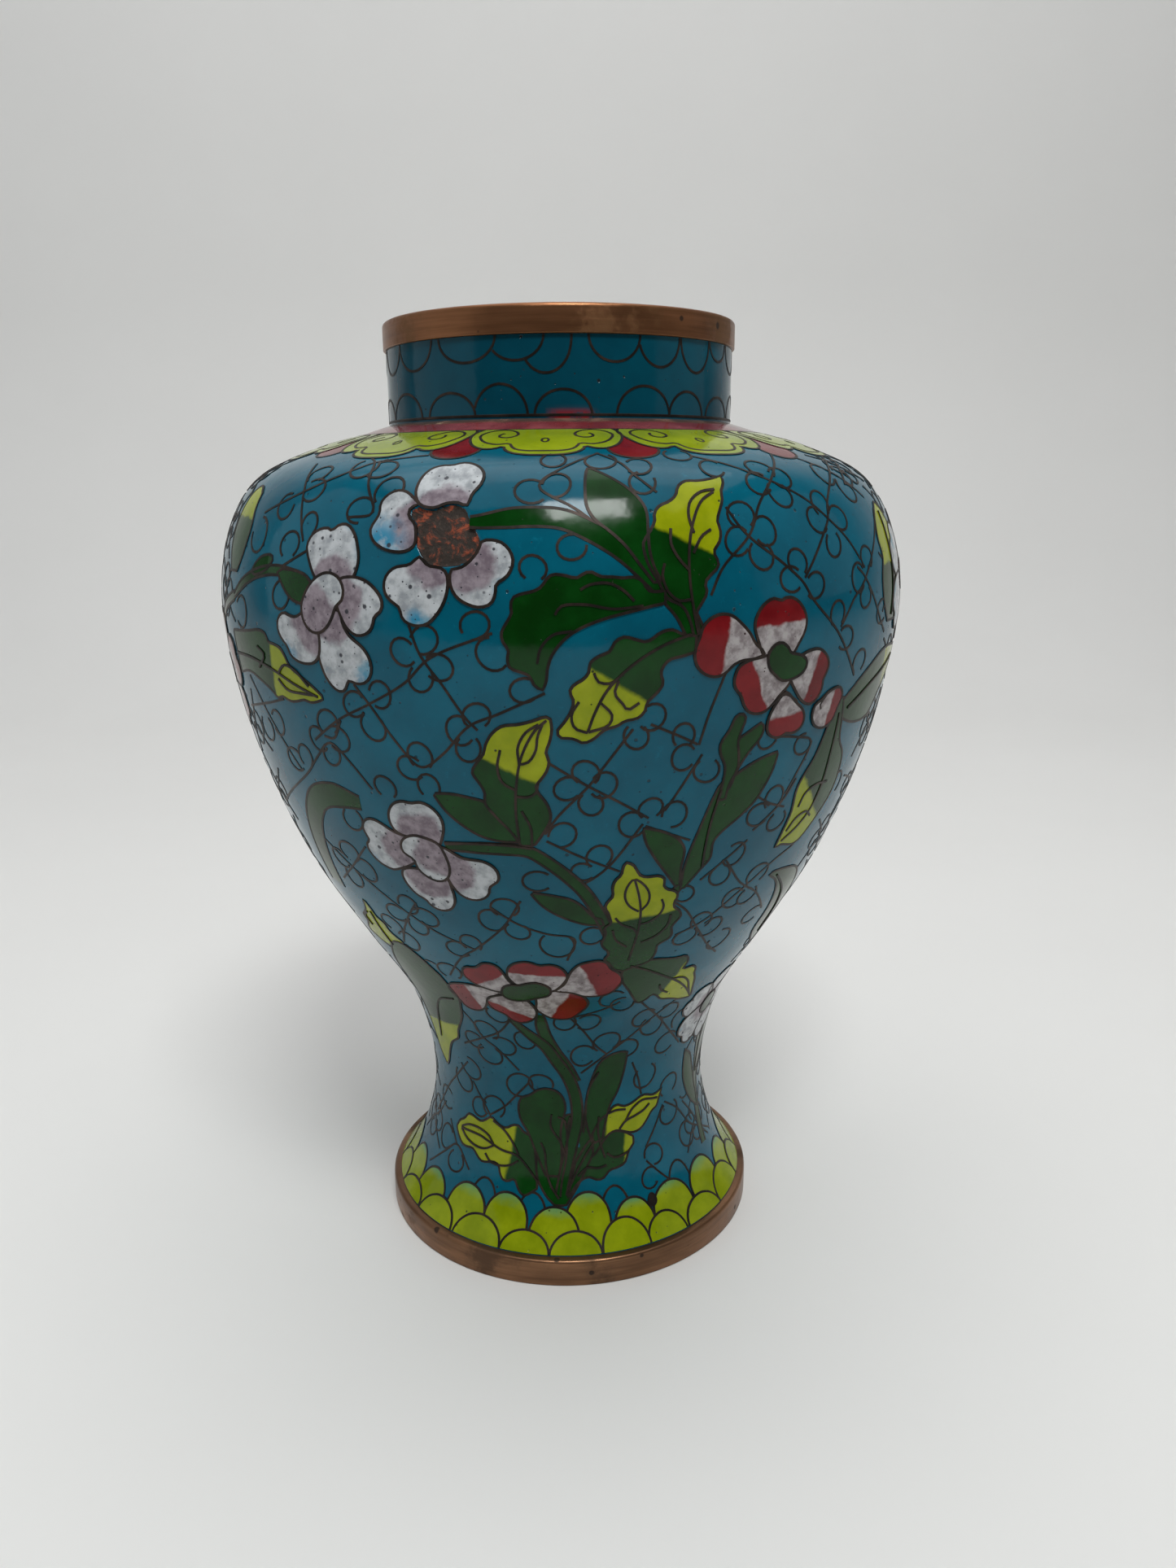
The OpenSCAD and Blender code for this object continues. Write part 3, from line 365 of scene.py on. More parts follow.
# Leaves: [layer, left edge and right edge from root to tip, two points of the line where yellow starts (yellow on its
# right) or None]
LEAVES = [
    # Leaves on the stems at the sides
    [1, [[78, 67], [82, 68.5], [88, 67], [96, 60]], [[78, 65], [82, 60], [88, 57.5], [96, 60]], [[88, 50],
     [88, 75]]],
    [1, [[66.5, 35], [67, 42], [71, 47.5], [80, 51]], [[66.5, 31], [72, 34], [77, 41], [80, 51]], None],
    [1, [[67, 22], [60, 26], [54, 33], [52, 41]], [[67, 26], [63, 32], [58, 38], [52, 41]], None],
    [1, [[-80, 113], [-85, 112], [-90, 116], [-95, 123]], [[-80, 116], [-83, 122], [-88, 125.5],
     [-95, 123]], [[-89, 130], [-89, 105]]],
    [1, [[17.5, 150.5], [16.9, 153.5], [15.8, 156], [13.8, 157.3], [12.7, 160], [11.6, 162.3], [11, 164.5],
     [10.9, 166.5], [12, 168.5], [12.8, 170.2], [12.9, 171.6], [13.8, 172.9], [15.2, 173.6], [16.5, 174.8],
     [17.3, 176.7], [18.8, 177.8], [20.5, 177.8], [22.5, 178.1], [25, 178.9]], [[18.6, 150.5], [18, 153],
     [17.8, 154.7], [18.6, 156.3], [19.4, 158], [19.2, 159.6], [20.2, 161], [21.3, 162.2], [21.2, 163.6],
     [20.8, 164.6], [22, 166.6], [22.3, 168.4], [22.1, 170], [22.9, 172], [23.7, 173.8], [24, 175.6],
     [24.8, 177], [25.2, 178.5]], [[22.6, 163.2], [12, 169.8]]],
    [1, [[12, 160], [10.2, 163], [8.5, 166], [6.5, 168.5], [4.5, 170.6], [3.5, 173], [3.4, 176], [3.6, 179],
     [4, 181.2]], [[13.2, 160], [12.3, 162], [11.7, 165], [11.7, 168.5], [11.8, 172], [11, 174.3],
     [9.5, 176.5], [7.5, 178.6], [5.6, 180.3], [4.3, 181.3]], None],
    [2, [[13.5, 158.5], [11.3, 158.6], [10.5, 160.2], [9.4, 160.9], [8, 160.8], [6.5, 161], [5, 161.1],
     [3.7, 161.9], [2.9, 161.7], [1.8, 160.9], [0.5, 161.3], [-1.3, 161.5], [-2.1, 160.7], [-2.7, 159.6],
     [-3.6, 158.9], [-5, 158.5], [-6.3, 157.9], [-6.7, 156.8], [-6.6, 155.3], [-7.3, 153.7], [-8, 152],
     [-7.7, 150.3], [-7.1, 149.3], [-7.3, 147.7], [-7, 146.2], [-5.8, 145.6], [-4.5, 144.9], [-3.9, 143.3],
     [-3, 142.4]], [[13.5, 156.5], [12, 156.2], [9.5, 155.5], [7, 154.8], [4.5, 153.9], [2, 152.6],
     [0, 150.8], [-1.5, 148.3], [-2.1, 146], [-2.3, 143.8], [-2.8, 142.4]], None],
    [2, [[17.8, 150.9], [16, 151.2], [14.5, 152.1], [13, 151.8], [11, 150.3], [9.5, 150.7], [8, 151.2],
     [6.8, 150.5], [6, 148.8], [4.5, 148], [3.5, 147], [3.3, 145.3], [2.6, 144.2], [1.3, 143.2], [0.8, 142],
     [1.3, 140.5], [0.9, 138.5], [0, 136.6], [-1, 134.9], [-0.7, 134]], [[17.8, 148.2], [16, 147.6],
     [14, 147], [13, 145], [13.4, 143], [12.5, 141.3], [11.3, 139.8], [11, 138.2], [10, 137], [8.3, 136.6],
     [7.3, 135.8], [5.5, 135.1], [4, 133.5], [2.6, 132.8], [1.3, 133.6], [-0.5, 133.8]], [[2, 147.3],
     [12, 139.4]]],
    [2, [[-7, 112], [-8.4, 115], [-10.4, 118], [-12, 121], [-11.8, 123], [-12.5, 125], [-13.4, 127],
     [-12.5, 129], [-11.5, 130.5], [-11, 132.5], [-10, 134.5], [-8.5, 135.9], [-6.5, 136.2], [-4.5, 136.8],
     [-2.6, 137.7]], [[-5, 112], [-3.6, 114.5], [-2.2, 118], [-2.7, 121], [-3.9, 123.2], [-4.2, 124.6],
     [-3.4, 126], [-2.6, 127.5], [-2.2, 129.5], [-2.6, 131], [-2, 133.3], [-1.7, 135.5], [-1.9, 137.4]],
     [[-3, 124.5], [-13.5, 130.8]]],
    [1, [[-6, 112.8], [-10, 112.8], [-13, 113.6], [-16, 115.8], [-18.5, 118.8], [-20, 122]], [[-5.2, 114],
     [-7.3, 117.2], [-9.5, 119.8], [-12, 121.2], [-14.5, 121.9], [-17, 122.4], [-19.8, 122.3]], None],
    [1, [[20.8, 99.5], [20.5, 104], [20.8, 108], [21.5, 112], [22.3, 116], [23.2, 120], [24.3, 123],
     [26.5, 124.3], [28, 125.5], [31, 127], [34, 127.8]], [[21.4, 99.5], [22.8, 102], [23.9, 104],
     [25.2, 106], [25.2, 108], [25, 110], [26, 112], [29, 115], [31.5, 118], [32.8, 121], [33.7, 124],
     [34.1, 127.5]], None],
    [2, [[24, 119.5], [24.4, 122.5], [24.3, 126.5], [23.2, 129], [23, 131], [24.2, 133.5], [25, 135.9],
     [25.8, 136.4]], [[25.4, 119.5], [25.6, 122.5], [26.6, 125.8], [26.4, 128.5], [25.9, 131.2],
     [26.3, 133.5], [26.7, 135.5], [26, 136.4]], None],
    [1, [[24.8, 122.5], [25.2, 126.5], [25.6, 129.5], [26, 131.4], [27.5, 132.6], [29.6, 134.1]],
     [[25.8, 121.5], [26.9, 126], [28.4, 129], [29.8, 131], [30.3, 133], [29.9, 134]], None],
    [1, [[19.6, 100.5], [17, 104.5], [14.8, 108], [13, 111.5], [12.1, 114.8]], [[20.4, 100.8], [19.9, 105],
     [19.8, 109.5], [18, 112.3], [15, 114.2], [12.3, 115.1]], None],
    [3, [[13, 76.5], [10.5, 77.5], [9.4, 79.5], [8, 81], [8.8, 82.3], [8.5, 83.8], [7.6, 84.8], [7, 86.3],
     [7.4, 88], [7.6, 89.5], [7.2, 91], [8.4, 92.2], [8, 94], [7.7, 95.2], [7, 96.6], [7.3, 98],
     [8.2, 99.5], [8, 101.5], [8.3, 103.3], [9.3, 104.8], [9.5, 106.7], [9.9, 107.6]], [[15.5, 77.5],
     [19, 79], [19.6, 82], [19.4, 83.8], [20.7, 84.9], [21.9, 86], [21.8, 87.6], [21.3, 89], [21.9, 90.6],
     [22.6, 92], [21.8, 93.8], [20.6, 94.8], [20.2, 96.3], [20.6, 98], [19.8, 99.3], [18.2, 100],
     [17.3, 101.2], [17.2, 102.8], [16, 103.7], [14, 103.7], [12.7, 104.2], [12, 105.4], [11.2, 106.9],
     [10.3, 107.5]], [[23, 94.4], [7, 92.2]]],
    [2, [[13, 78], [16, 78.4], [20, 79], [23.5, 78.4], [26, 78], [28.8, 78], [30, 76.6], [30.2, 75],
     [29.8, 73.5], [31, 73.2], [32.6, 73.5], [34.5, 72.3], [35, 70.5], [36.5, 68.5], [37.8, 66],
     [39.5, 62.8], [40.9, 60.4]], [[12.8, 74], [14, 71.8], [16, 69], [18, 66], [20, 63.6], [22, 64],
     [23.8, 65.8], [25.5, 65], [27.5, 63.3], [30, 62.7], [33, 61.8], [35, 61], [38, 60.5], [40.7, 60.1]],
     [[25.2, 61], [30, 76]]],
    [1, [[6.5, 93.5], [5, 94.2], [3, 97], [1, 98.9], [-2, 100], [-6, 100.8]], [[7.2, 91.5], [3, 92.4],
     [-1, 94.5], [-4, 97], [-6.1, 100.2]], None],
    [1, [[-62, 140], [-57, 141], [-53, 139.8], [-50, 138.3], [-48.5, 137.1], [-47, 137.6], [-45, 137],
     [-43, 137.3], [-41.3, 137.8], [-39.8, 137.5], [-38, 138], [-37, 138.5]], [[-62, 148.5], [-58, 148.8],
     [-54, 149.3], [-51, 149.8], [-48.8, 149.3], [-48.2, 147.9], [-46.5, 147.6], [-45, 147], [-44, 145.3],
     [-43.3, 143.8], [-41, 142.2], [-39, 140.8], [-37, 139]], [[-49, 136], [-47.5, 150]]],
    [0, [[-53, 160.3], [-51.8, 162], [-49.8, 163.4], [-47.2, 163.7], [-46.6, 163.1]], [[-51.5, 159.8],
     [-49.6, 160.4], [-48, 161.2], [-46.7, 162.7]], None],
    [1, [[-45, 160.7], [-43, 157.8], [-41.3, 156.2], [-39.5, 155.6]], [[-44, 161.4], [-41, 161.3],
     [-38.2, 160.4], [-37, 158.5], [-38, 156]], None],
    [1, [[-62, 160], [-64, 165], [-64.5, 170], [-63, 176], [-60.5, 177.3], [-58.5, 175.8]], [[-59, 160],
     [-56.8, 164], [-56.2, 168.5], [-57.4, 172.5], [-58, 175.5]], [[-55.5, 170.2], [-66, 170.8]]],
    [2, [[46.5, 136], [45, 131], [43.5, 125], [41, 119], [41.5, 113], [41, 109], [40.5, 105]], [[48, 136],
     [49, 131], [50, 127], [53, 123], [54, 115], [51, 109], [47, 104.5], [42, 105.5]], [[43.5, 119],
     [51.5, 109.2]]],
    [1, [[46.5, 134], [50, 137], [55, 140.5], [62, 143.5], [74, 142.5]], [[48, 132], [53, 130], [60, 130],
     [64, 134], [68, 137], [74, 142]], [[65, 134], [63, 143]]],
    [1, [[-50, 75], [-55, 77], [-57, 78.5], [-55, 80.7], [-53, 82.5], [-52.5, 84.8], [-50.5, 86.2],
     [-48.2, 88.3], [-46.9, 91]], [[-42, 75], [-42.2, 78], [-41.7, 79.8], [-43.5, 81.3], [-44.4, 83],
     [-44.2, 84.8], [-45.7, 86.2], [-45.9, 88.3], [-46.5, 91]], [[-40, 76.5], [-60, 76]]],
    [2, [[-35, 71], [-38.5, 76], [-42, 79], [-46, 78.5], [-50, 75], [-54, 70], [-58, 63], [-61, 55],
     [-62, 47], [-61, 40], [-57.5, 37]], [[-34, 67], [-33.3, 63], [-35, 59], [-36.5, 56], [-39, 53],
     [-42, 50], [-43.5, 47.5], [-46, 46.3], [-49, 44.8], [-52, 42], [-55, 38.5], [-57, 36.8]], [[-63, 49],
     [-43, 51.5]]],
    [1, [[61, 149], [58.5, 153], [58, 158], [59, 161.5], [58.2, 165.5], [60, 169.5], [63, 172.5]],
     [[67, 149], [69.5, 154], [69, 159], [68, 163], [68, 167], [66, 170.5], [63.5, 172.4]], [[70, 160.5],
     [57, 160]]],
    [1, [[43, 97.3], [47, 94.5], [50, 90], [52, 84], [52.5, 78.5], [55, 75], [59, 72]], [[44, 98],
     [49, 97.5], [54, 96], [59, 91], [62, 84], [62.5, 77], [60, 72.5]], None],
    # The plant that grows from the foot
    [1, [[9, 24], [6.4, 30], [6.4, 34], [7.5, 38], [9.3, 42], [11, 44.8], [14, 46.6], [18, 47.4],
     [21, 47.2]], [[13, 25], [14.3, 29], [16, 33], [18.6, 36], [20.4, 40], [21.2, 44], [21.3, 47]], None],
    [2, [[-9, 17], [-13, 22], [-16.5, 26.8], [-19.3, 29.5], [-20.1, 32.3], [-18.8, 35], [-15, 36.2],
     [-12, 37.7], [-9, 38.3]], [[-4, 17], [-3, 22], [-3.5, 27], [-2.4, 30.5], [-1.4, 33.2], [-2.4, 36],
     [-5, 37.8], [-8.5, 38.3]], None],
    [1, [[-14, 25.5], [-18.5, 26.6], [-20.3, 27.8], [-23, 27.6], [-25, 26.8], [-27, 26.6], [-30, 27.3],
     [-32.5, 28.3], [-35, 27.3], [-38, 26.3], [-42, 26.8], [-45, 26.7], [-47, 25.2], [-50, 24],
     [-51.7, 22.3]], [[-12, 14], [-17, 12.1], [-19, 13.2], [-21, 15.3], [-23, 14.7], [-25.5, 14.6],
     [-27, 15.8], [-28, 17.5], [-30, 18], [-33, 17.5], [-36, 17.2], [-38, 17.9], [-41, 19.2], [-44, 18.9],
     [-47, 19], [-50, 20.5], [-51.7, 21.8]], [[-21, 29], [-25.5, 13]]],
    [1, [[9, 26.5], [12, 29.5], [15.3, 31], [16.5, 32], [19, 32.8], [22, 32], [26, 32.5], [28.5, 33.3],
     [31, 33.6], [35, 32.8], [37, 32.8], [39.8, 33.6]], [[9, 21], [15.5, 25.8], [19, 26.4], [22, 25.8],
     [25, 25.1], [29, 25.3], [32.5, 27], [35, 28.8], [37.5, 29.5], [38.6, 31.4], [39.8, 33.2]], [[14.2, 22],
     [15.2, 33]]],
    [0, [[2, 20], [8, 25], [13, 26], [18, 26.3], [22, 25.6], [26, 24]], [[-1, 12], [3, 15.5], [7, 16.6],
     [10, 15.8], [12.5, 16], [15, 17.5], [18, 17.8], [21.5, 18.6], [23.5, 21], [25.7, 22.2]], [[21, 17],
     [22.5, 27]]],
    [0, [[-5.5, 10.6], [-9, 12.8], [-12.5, 17], [-12.6, 22], [-11.5, 26], [-8.5, 28.5], [-4.5, 30.2],
     [-1, 31.3]], [[-1.5, 10.6], [2.5, 14.5], [7, 19.5], [10.2, 23.5], [10.6, 27], [8.5, 30.2], [4, 31.6],
     [-0.6, 31.5]], None],
]

# Stems: [layer, width in mm, middle line]
STEMS = [
    [0, 3.4, [[-12.6, 170.3], [-11, 170.4], [-8, 170.9], [-4.5, 171.2], [0, 170.8], [4, 168.6], [8, 165.4],
     [11, 162], [13.5, 158.8], [16, 155.3], [17.6, 151.6]]],
    [1, 2.3, [[-19.8, 110.7], [-15, 111], [-10, 111], [-6, 110.6], [-3, 108.2], [0, 105], [3, 101],
     [5.3, 96.5], [7, 92.5], [9.5, 86]]],
    [0, 1.7, [[-60, 155.3], [-55, 158.6], [-50, 160.5], [-45, 161.1], [-40, 160.3]]],
    [1, 2.4, [[-17.5, 58.5], [-14.5, 55.3], [-11, 52.6], [-8, 50.5], [-4.5, 46.3], [-0.5, 41.8], [2.5, 36],
     [3, 30], [1, 24.5], [-1.5, 18.5], [-3.3, 13]]],
    [0, 2.5, [[-8.2, 61], [-8.1, 56], [-6.9, 52.5], [-4.5, 48.5], [-1, 44.5], [2.2, 40]]],
    [0, 5.2, [[-34.5, 118], [-40, 118.6], [-45, 117], [-49, 112.5], [-52, 106.5], [-54, 100], [-55.3, 93]]],
    [0, 2.2, [[21, 101], [18, 96], [15.5, 90], [14, 82], [13.5, 76]]],
    # Stems between the flowers at the sides
    [0, 2.0, [[76, 153], [83, 149], [92, 145.5], [102, 142]]],
    [0, 1.8, [[-73, 143], [-71, 148], [-66.5, 152.5], [-60, 155.4]]],
    [0, 2.4, [[-74, 135], [-76.5, 124], [-81, 111], [-86, 99], [-89.5, 88]]],
    [0, 2.2, [[88, 80], [84, 73], [77, 66], [68, 60], [61, 55]]],
    [0, 2.4, [[59, 50], [63, 43], [66.5, 34], [67, 24], [65, 13]]],
]

# Veins and inner lines of petals, leaves and stems
VEINS = [
    [[18.1, 151], [17.5, 154.5], [17, 160], [17.2, 165], [18.2, 169.5], [20.2, 173.6], [22.6, 175.4]],
    [[18.2, 168], [17.8, 171], [18.5, 173.6], [20.5, 175.4], [22.9, 175.9]],
    [[14.9, 168.8], [14.7, 166.2], [15.7, 163.6], [16.9, 161.9]],
    [[20.8, 168.5], [19.3, 167.4], [17.8, 164.6]],
    [[17, 157], [15.5, 156.8], [14, 158.2], [13.2, 161], [13.6, 163]],
    [[2.3, 159], [3.5, 159.8], [6, 160], [8, 158.7], [9.3, 157]],
    [[-1, 155], [-0.2, 156.4], [3, 156.6], [6.5, 155.8], [10.5, 156.2]],
    [[-3.4, 147], [-2.9, 149.6], [-1.2, 151.8], [1.2, 152.3]],
    [[17, 151.2], [13.3, 149.6], [9.5, 146.8], [6, 142.6], [4.2, 138.4], [3.2, 134.8]],
    [[4, 145.3], [4.6, 143.7], [6.2, 143.4], [7.8, 145]],
    [[2, 140.3], [1, 138], [1.5, 135.5], [3.2, 134.7]],
    [[5, 139.9], [6.5, 137.8], [6, 135.9], [3.3, 134.8]],
    [[10.2, 139.8], [8.6, 138.6], [8, 139.6], [6.8, 141.6], [7.3, 143.8]],
    [[-7.2, 113], [-7.4, 119], [-7, 125], [-6, 130.5], [-4, 135.2], [-2.4, 137]],
    [[-6.6, 128.8], [-5.2, 129.2], [-4, 131.5], [-3.7, 134], [-3, 136.2]],
    [[-6.4, 129], [-6.5, 132], [-5.3, 134.8], [-3.5, 136.3]],
    [[-9, 131.5], [-9.6, 128], [-9, 125.2], [-7.2, 123.8]],
    [[-7.2, 122.5], [-5.5, 122.4], [-4.3, 123.2], [-3.9, 125]],
    [[-5.3, 112], [-5.3, 116], [-6.5, 119.5]],
    [[24, 104.5], [23.6, 110], [23.7, 116], [24.4, 121.5]],
    [[13.6, 80], [14, 86], [14.1, 90.5], [13.8, 95], [13, 99], [11.8, 103.2]],
    [[13.4, 95], [11.5, 96.6], [10.4, 99], [10.5, 101.5], [11.6, 103.5], [13.3, 102.2], [14.8, 99.6],
     [14.9, 97], [13.8, 95.2]],
    [[17.5, 97.6], [18.2, 95.6], [17.6, 93.2], [15.6, 91.6], [14.1, 91.3]],
    [[9.1, 93.7], [10.6, 91.6], [13, 90.2], [14, 88.6]],
    [[20.2, 93], [20.2, 90.2], [18.4, 87.2], [15.4, 85.6]],
    [[8.9, 90.2], [9.8, 87.2], [12.4, 84.6]],
    [[14.5, 78], [20, 75.2], [26, 71.6], [31, 68.5], [36, 64.5], [40.3, 60.6]],
    [[27.8, 70.5], [31, 70.3], [34.3, 68], [36.5, 65], [38.6, 62.3]],
    [[24.7, 69.2], [25.8, 67.2], [28.7, 65.4]],
    [[-62, 144], [-55, 144], [-48, 142.6], [-43, 140.6], [-38, 138.8]],
    [[-46.8, 142], [-44.6, 144], [-42.2, 143.3], [-39.6, 140.6]],
    [[-47, 141], [-45, 139.2], [-41.5, 139], [-39, 139]],
    [[-52, 146.6], [-50, 145.2], [-52.5, 142.5]],
    [[43, 114], [43.8, 117], [46.5, 118.2], [50, 118]],
    [[41.6, 106.4], [45, 109], [47.2, 112], [48.3, 117], [48, 125], [47.6, 133]],
    [[42, 108.6], [43.6, 111.4], [46.2, 112.2], [48.3, 110.6]],
    [[-47.6, 77], [-47.8, 82], [-47, 87.5]],
    [[-51.4, 82], [-51.2, 85], [-48.6, 87]],
    [[-36, 62], [-43, 60], [-50, 54], [-56, 45]],
    [[63, 150], [64, 158], [63.3, 166], [63.2, 170.5]],
    [[46, 96.5], [53, 90], [58, 82], [59.6, 75]],
    [[-19.8, 111.7], [-15, 112], [-9, 112], [-5.4, 111.4]],
    [[41.8, 134.8], [41.5, 135.8], [42.6, 137.3]],
    [[31, 137.3], [33.2, 139], [36, 137.3]],
    [[50, 133.5], [56, 136.5], [63, 139], [70, 141]],
    # Lines of the plant at the foot
    [[-3.5, 12.5], [-3, 16], [-1.7, 19.7], [-1, 23.5], [-0.8, 28], [0.4, 31]],
    [[-4, 12], [-7.5, 15.5], [-9, 19], [-9.6, 22.5], [-11.2, 24.5]],
    [[-6.8, 31.6], [-7.4, 29], [-6, 27], [-3.6, 25], [-1.6, 21.5]],
    [[-4.4, 31], [-1.9, 30.2], [-1.2, 28]],
    [[5.4, 27], [6.3, 31], [6.6, 35], [8, 39], [11, 42.5]],
    [[11.6, 30.5], [11.2, 27], [12, 24], [13.6, 20.6]],
    [[-0.5, 14], [2.5, 18], [6, 21.5], [9.8, 24.7]],
    [[3, 17], [6.5, 18.8], [10.5, 18.4], [14, 18.8]],
    [[-12, 15.5], [-16, 18.4], [-20.5, 20.7], [-27, 21.2], [-33, 22.2], [-38, 22.9], [-48.5, 22.6]],
    [[-31.2, 22], [-33.5, 23.6], [-38, 24.5], [-44, 24.3], [-48.3, 23]],
    [[-31.2, 21.6], [-35, 20.3], [-40, 20.1], [-45, 21], [-48.3, 22.4]],
    [[-31.6, 27.6], [-26.4, 26], [-22.6, 23.5], [-20, 21]],
    [[-34.5, 19.3], [-32, 17.9], [-27.5, 17.6], [-23, 18.3], [-20, 19.6]],
    [[15.4, 31], [18.5, 31.5], [22.6, 31.2]],
    [[20, 26.6], [22.5, 28.2], [27, 29], [31, 29.8], [33.6, 30.9]],
    [[22.6, 28.2], [25.5, 30.9], [30, 32.4], [35, 31.9], [37.6, 31.6]],
    [[14.5, 21.5], [17, 20.3], [20.5, 20.4], [23.5, 21]],
]

# Long strokes of the wire ground
STROKES = [
    [[-48.5, 184], [-44, 176], [-41.5, 170], [-40, 166.5]],
    [[-53, 171.5], [-44, 176], [-37, 180.5], [-33, 184], [-27, 186], [-22, 187]],
    [[-36, 186.5], [-33, 184], [-30.5, 177.5], [-27.8, 171.8], [-32, 171]],
    [[-45, 161.3], [-38.5, 165]],
    [[-41, 130], [-34.5, 135], [-28.5, 138.5], [-22, 143], [-18, 147.5], [-9.2, 152]],
    [[-30.5, 142], [-28, 138], [-24.7, 131.8], [-21.3, 127.3], [-17.5, 130.2], [-13.2, 135.7], [-9, 138],
     [-2.5, 141.8]],
    [[-20.7, 153], [-19.3, 148], [-16.5, 143], [-13.5, 137], [-12, 135]],
    [[-60, 113], [-46, 122], [-42, 126], [-37.5, 130], [-34.5, 127], [-31, 121.5]],
    [[-38.5, 131.2], [-36.5, 131], [-34.3, 134.8]],
    [[-62, 133], [-52, 135.5], [-47, 137]],
    [[-58, 140], [-52, 130], [-47.5, 122.5]],
    [[43.5, 189], [39, 183], [34.5, 178], [30, 173], [27, 167.5], [22, 162], [20, 157.5]],
    [[22.8, 185.5], [27, 183], [31, 180], [35, 177.2], [40, 173.5], [43.5, 169.8], [47, 166], [50, 161.8]],
    [[24, 172.5], [25.5, 169], [27.3, 166.5], [32, 162.3], [35.5, 158.8], [37.5, 155.5], [43.5, 149],
     [50, 140]],
    [[61, 186], [52.5, 180], [45, 173], [43.5, 169.7], [41, 166.5], [36, 159.5]],
    [[45, 187.5], [52, 180.5], [59, 173.5]],
    [[61, 171], [54.5, 162.5], [50, 157], [47.5, 155], [44, 150]],
    [[48.8, 160.5], [51, 158.5], [57, 150], [60, 147]],
    [[6, 187], [9.5, 183], [11, 179.5], [13.8, 175.5]],
    [[6.5, 187], [0.5, 181.7], [-3.2, 177], [2, 172.5], [8, 166.5]],
    [[-2.8, 129.5], [0.5, 126.7], [3.5, 124.3], [8, 121], [12.8, 117.2]],
    [[9.5, 135], [7.5, 131.5], [5.5, 128], [3.5, 124.5], [-1, 118.5], [-3.2, 114.5]],
    [[12, 135.7], [16, 133.4], [19.3, 131.3]],
    [[22.5, 144], [20.5, 136.5], [19.5, 131.2]],
    [[20.2, 129.3], [16.5, 121], [15.3, 118.5]],
    [[33.8, 130.8], [37.5, 130], [41.3, 128.6], [39.6, 122], [38.2, 118]],
    [[-54, 111], [-44, 101], [-38, 95.5], [-33, 91], [-28, 87], [-20, 83]],
    [[-50, 96], [-43, 101.5], [-37, 107.5]],
    [[-41, 80], [-38, 84.5], [-33, 91], [-29.8, 95]],
    [[-31, 72], [-24, 80], [-19.5, 83.5], [-12, 91.5], [-8.2, 98.5]],
    [[-14, 96.5], [-9.5, 92.3], [-4, 89.5], [1.5, 88], [0, 81]],
    [[-35.5, 58.5], [-32.5, 54], [-31, 50.6], [-26, 48], [-18.5, 42.5]],
    [[-41, 46.5], [-30, 50.5], [-23, 53.5], [-18, 58]],
    [[-3, 113], [3, 109], [9, 105.5]],
    [[2.5, 102.5], [5, 104.5], [7.5, 107.5], [12, 116]],
    [[12.5, 115.5], [20.5, 111.3]],
    [[20.5, 96], [23.5, 93.3], [28, 87], [34, 80], [39, 76]],
    [[23, 86], [29, 89], [35, 95], [42, 101.3], [47, 104]],
    [[29, 104.8], [34.5, 98], [41, 93.5], [48, 86.5]],
    [[24.5, 101], [29, 105.5], [32.5, 109]],
    [[31, 119.5], [35, 116.7], [39, 115]],
    [[33, 111], [38, 116.5], [40, 121]],
    [[18, 66.5], [24, 61], [31, 55.5], [38, 50], [46, 44.5]],
    [[4.5, 42.5], [13, 47], [22, 52], [29, 57], [35, 61]],
    [[1, 59.5], [5, 55], [9, 50.5], [13.5, 47.3]],
    [[2, 60.3], [9, 62.2], [12.5, 63.5]],
    [[-65, 9.5], [-56, 15], [-50, 18], [-41, 14]],
    [[-57, 22.5], [-50, 17.8]],
    [[-33, 28.8], [-26, 32], [-20, 36], [-15, 39.5]],
    [[-41, 36], [-37, 32], [-33, 28.5]],
    [[-70, 22], [-60, 30], [-50, 36], [-42, 41]],
    [[29.5, 34], [27.5, 38.5], [24, 43.5]],
    [[30.5, 17.5], [37, 12.8], [46, 7]],
    [[42, 29.5], [50, 26], [58, 20], [66, 17], [75, 13.5]],
    [[31, 20.5], [37, 25], [41, 29]],
]

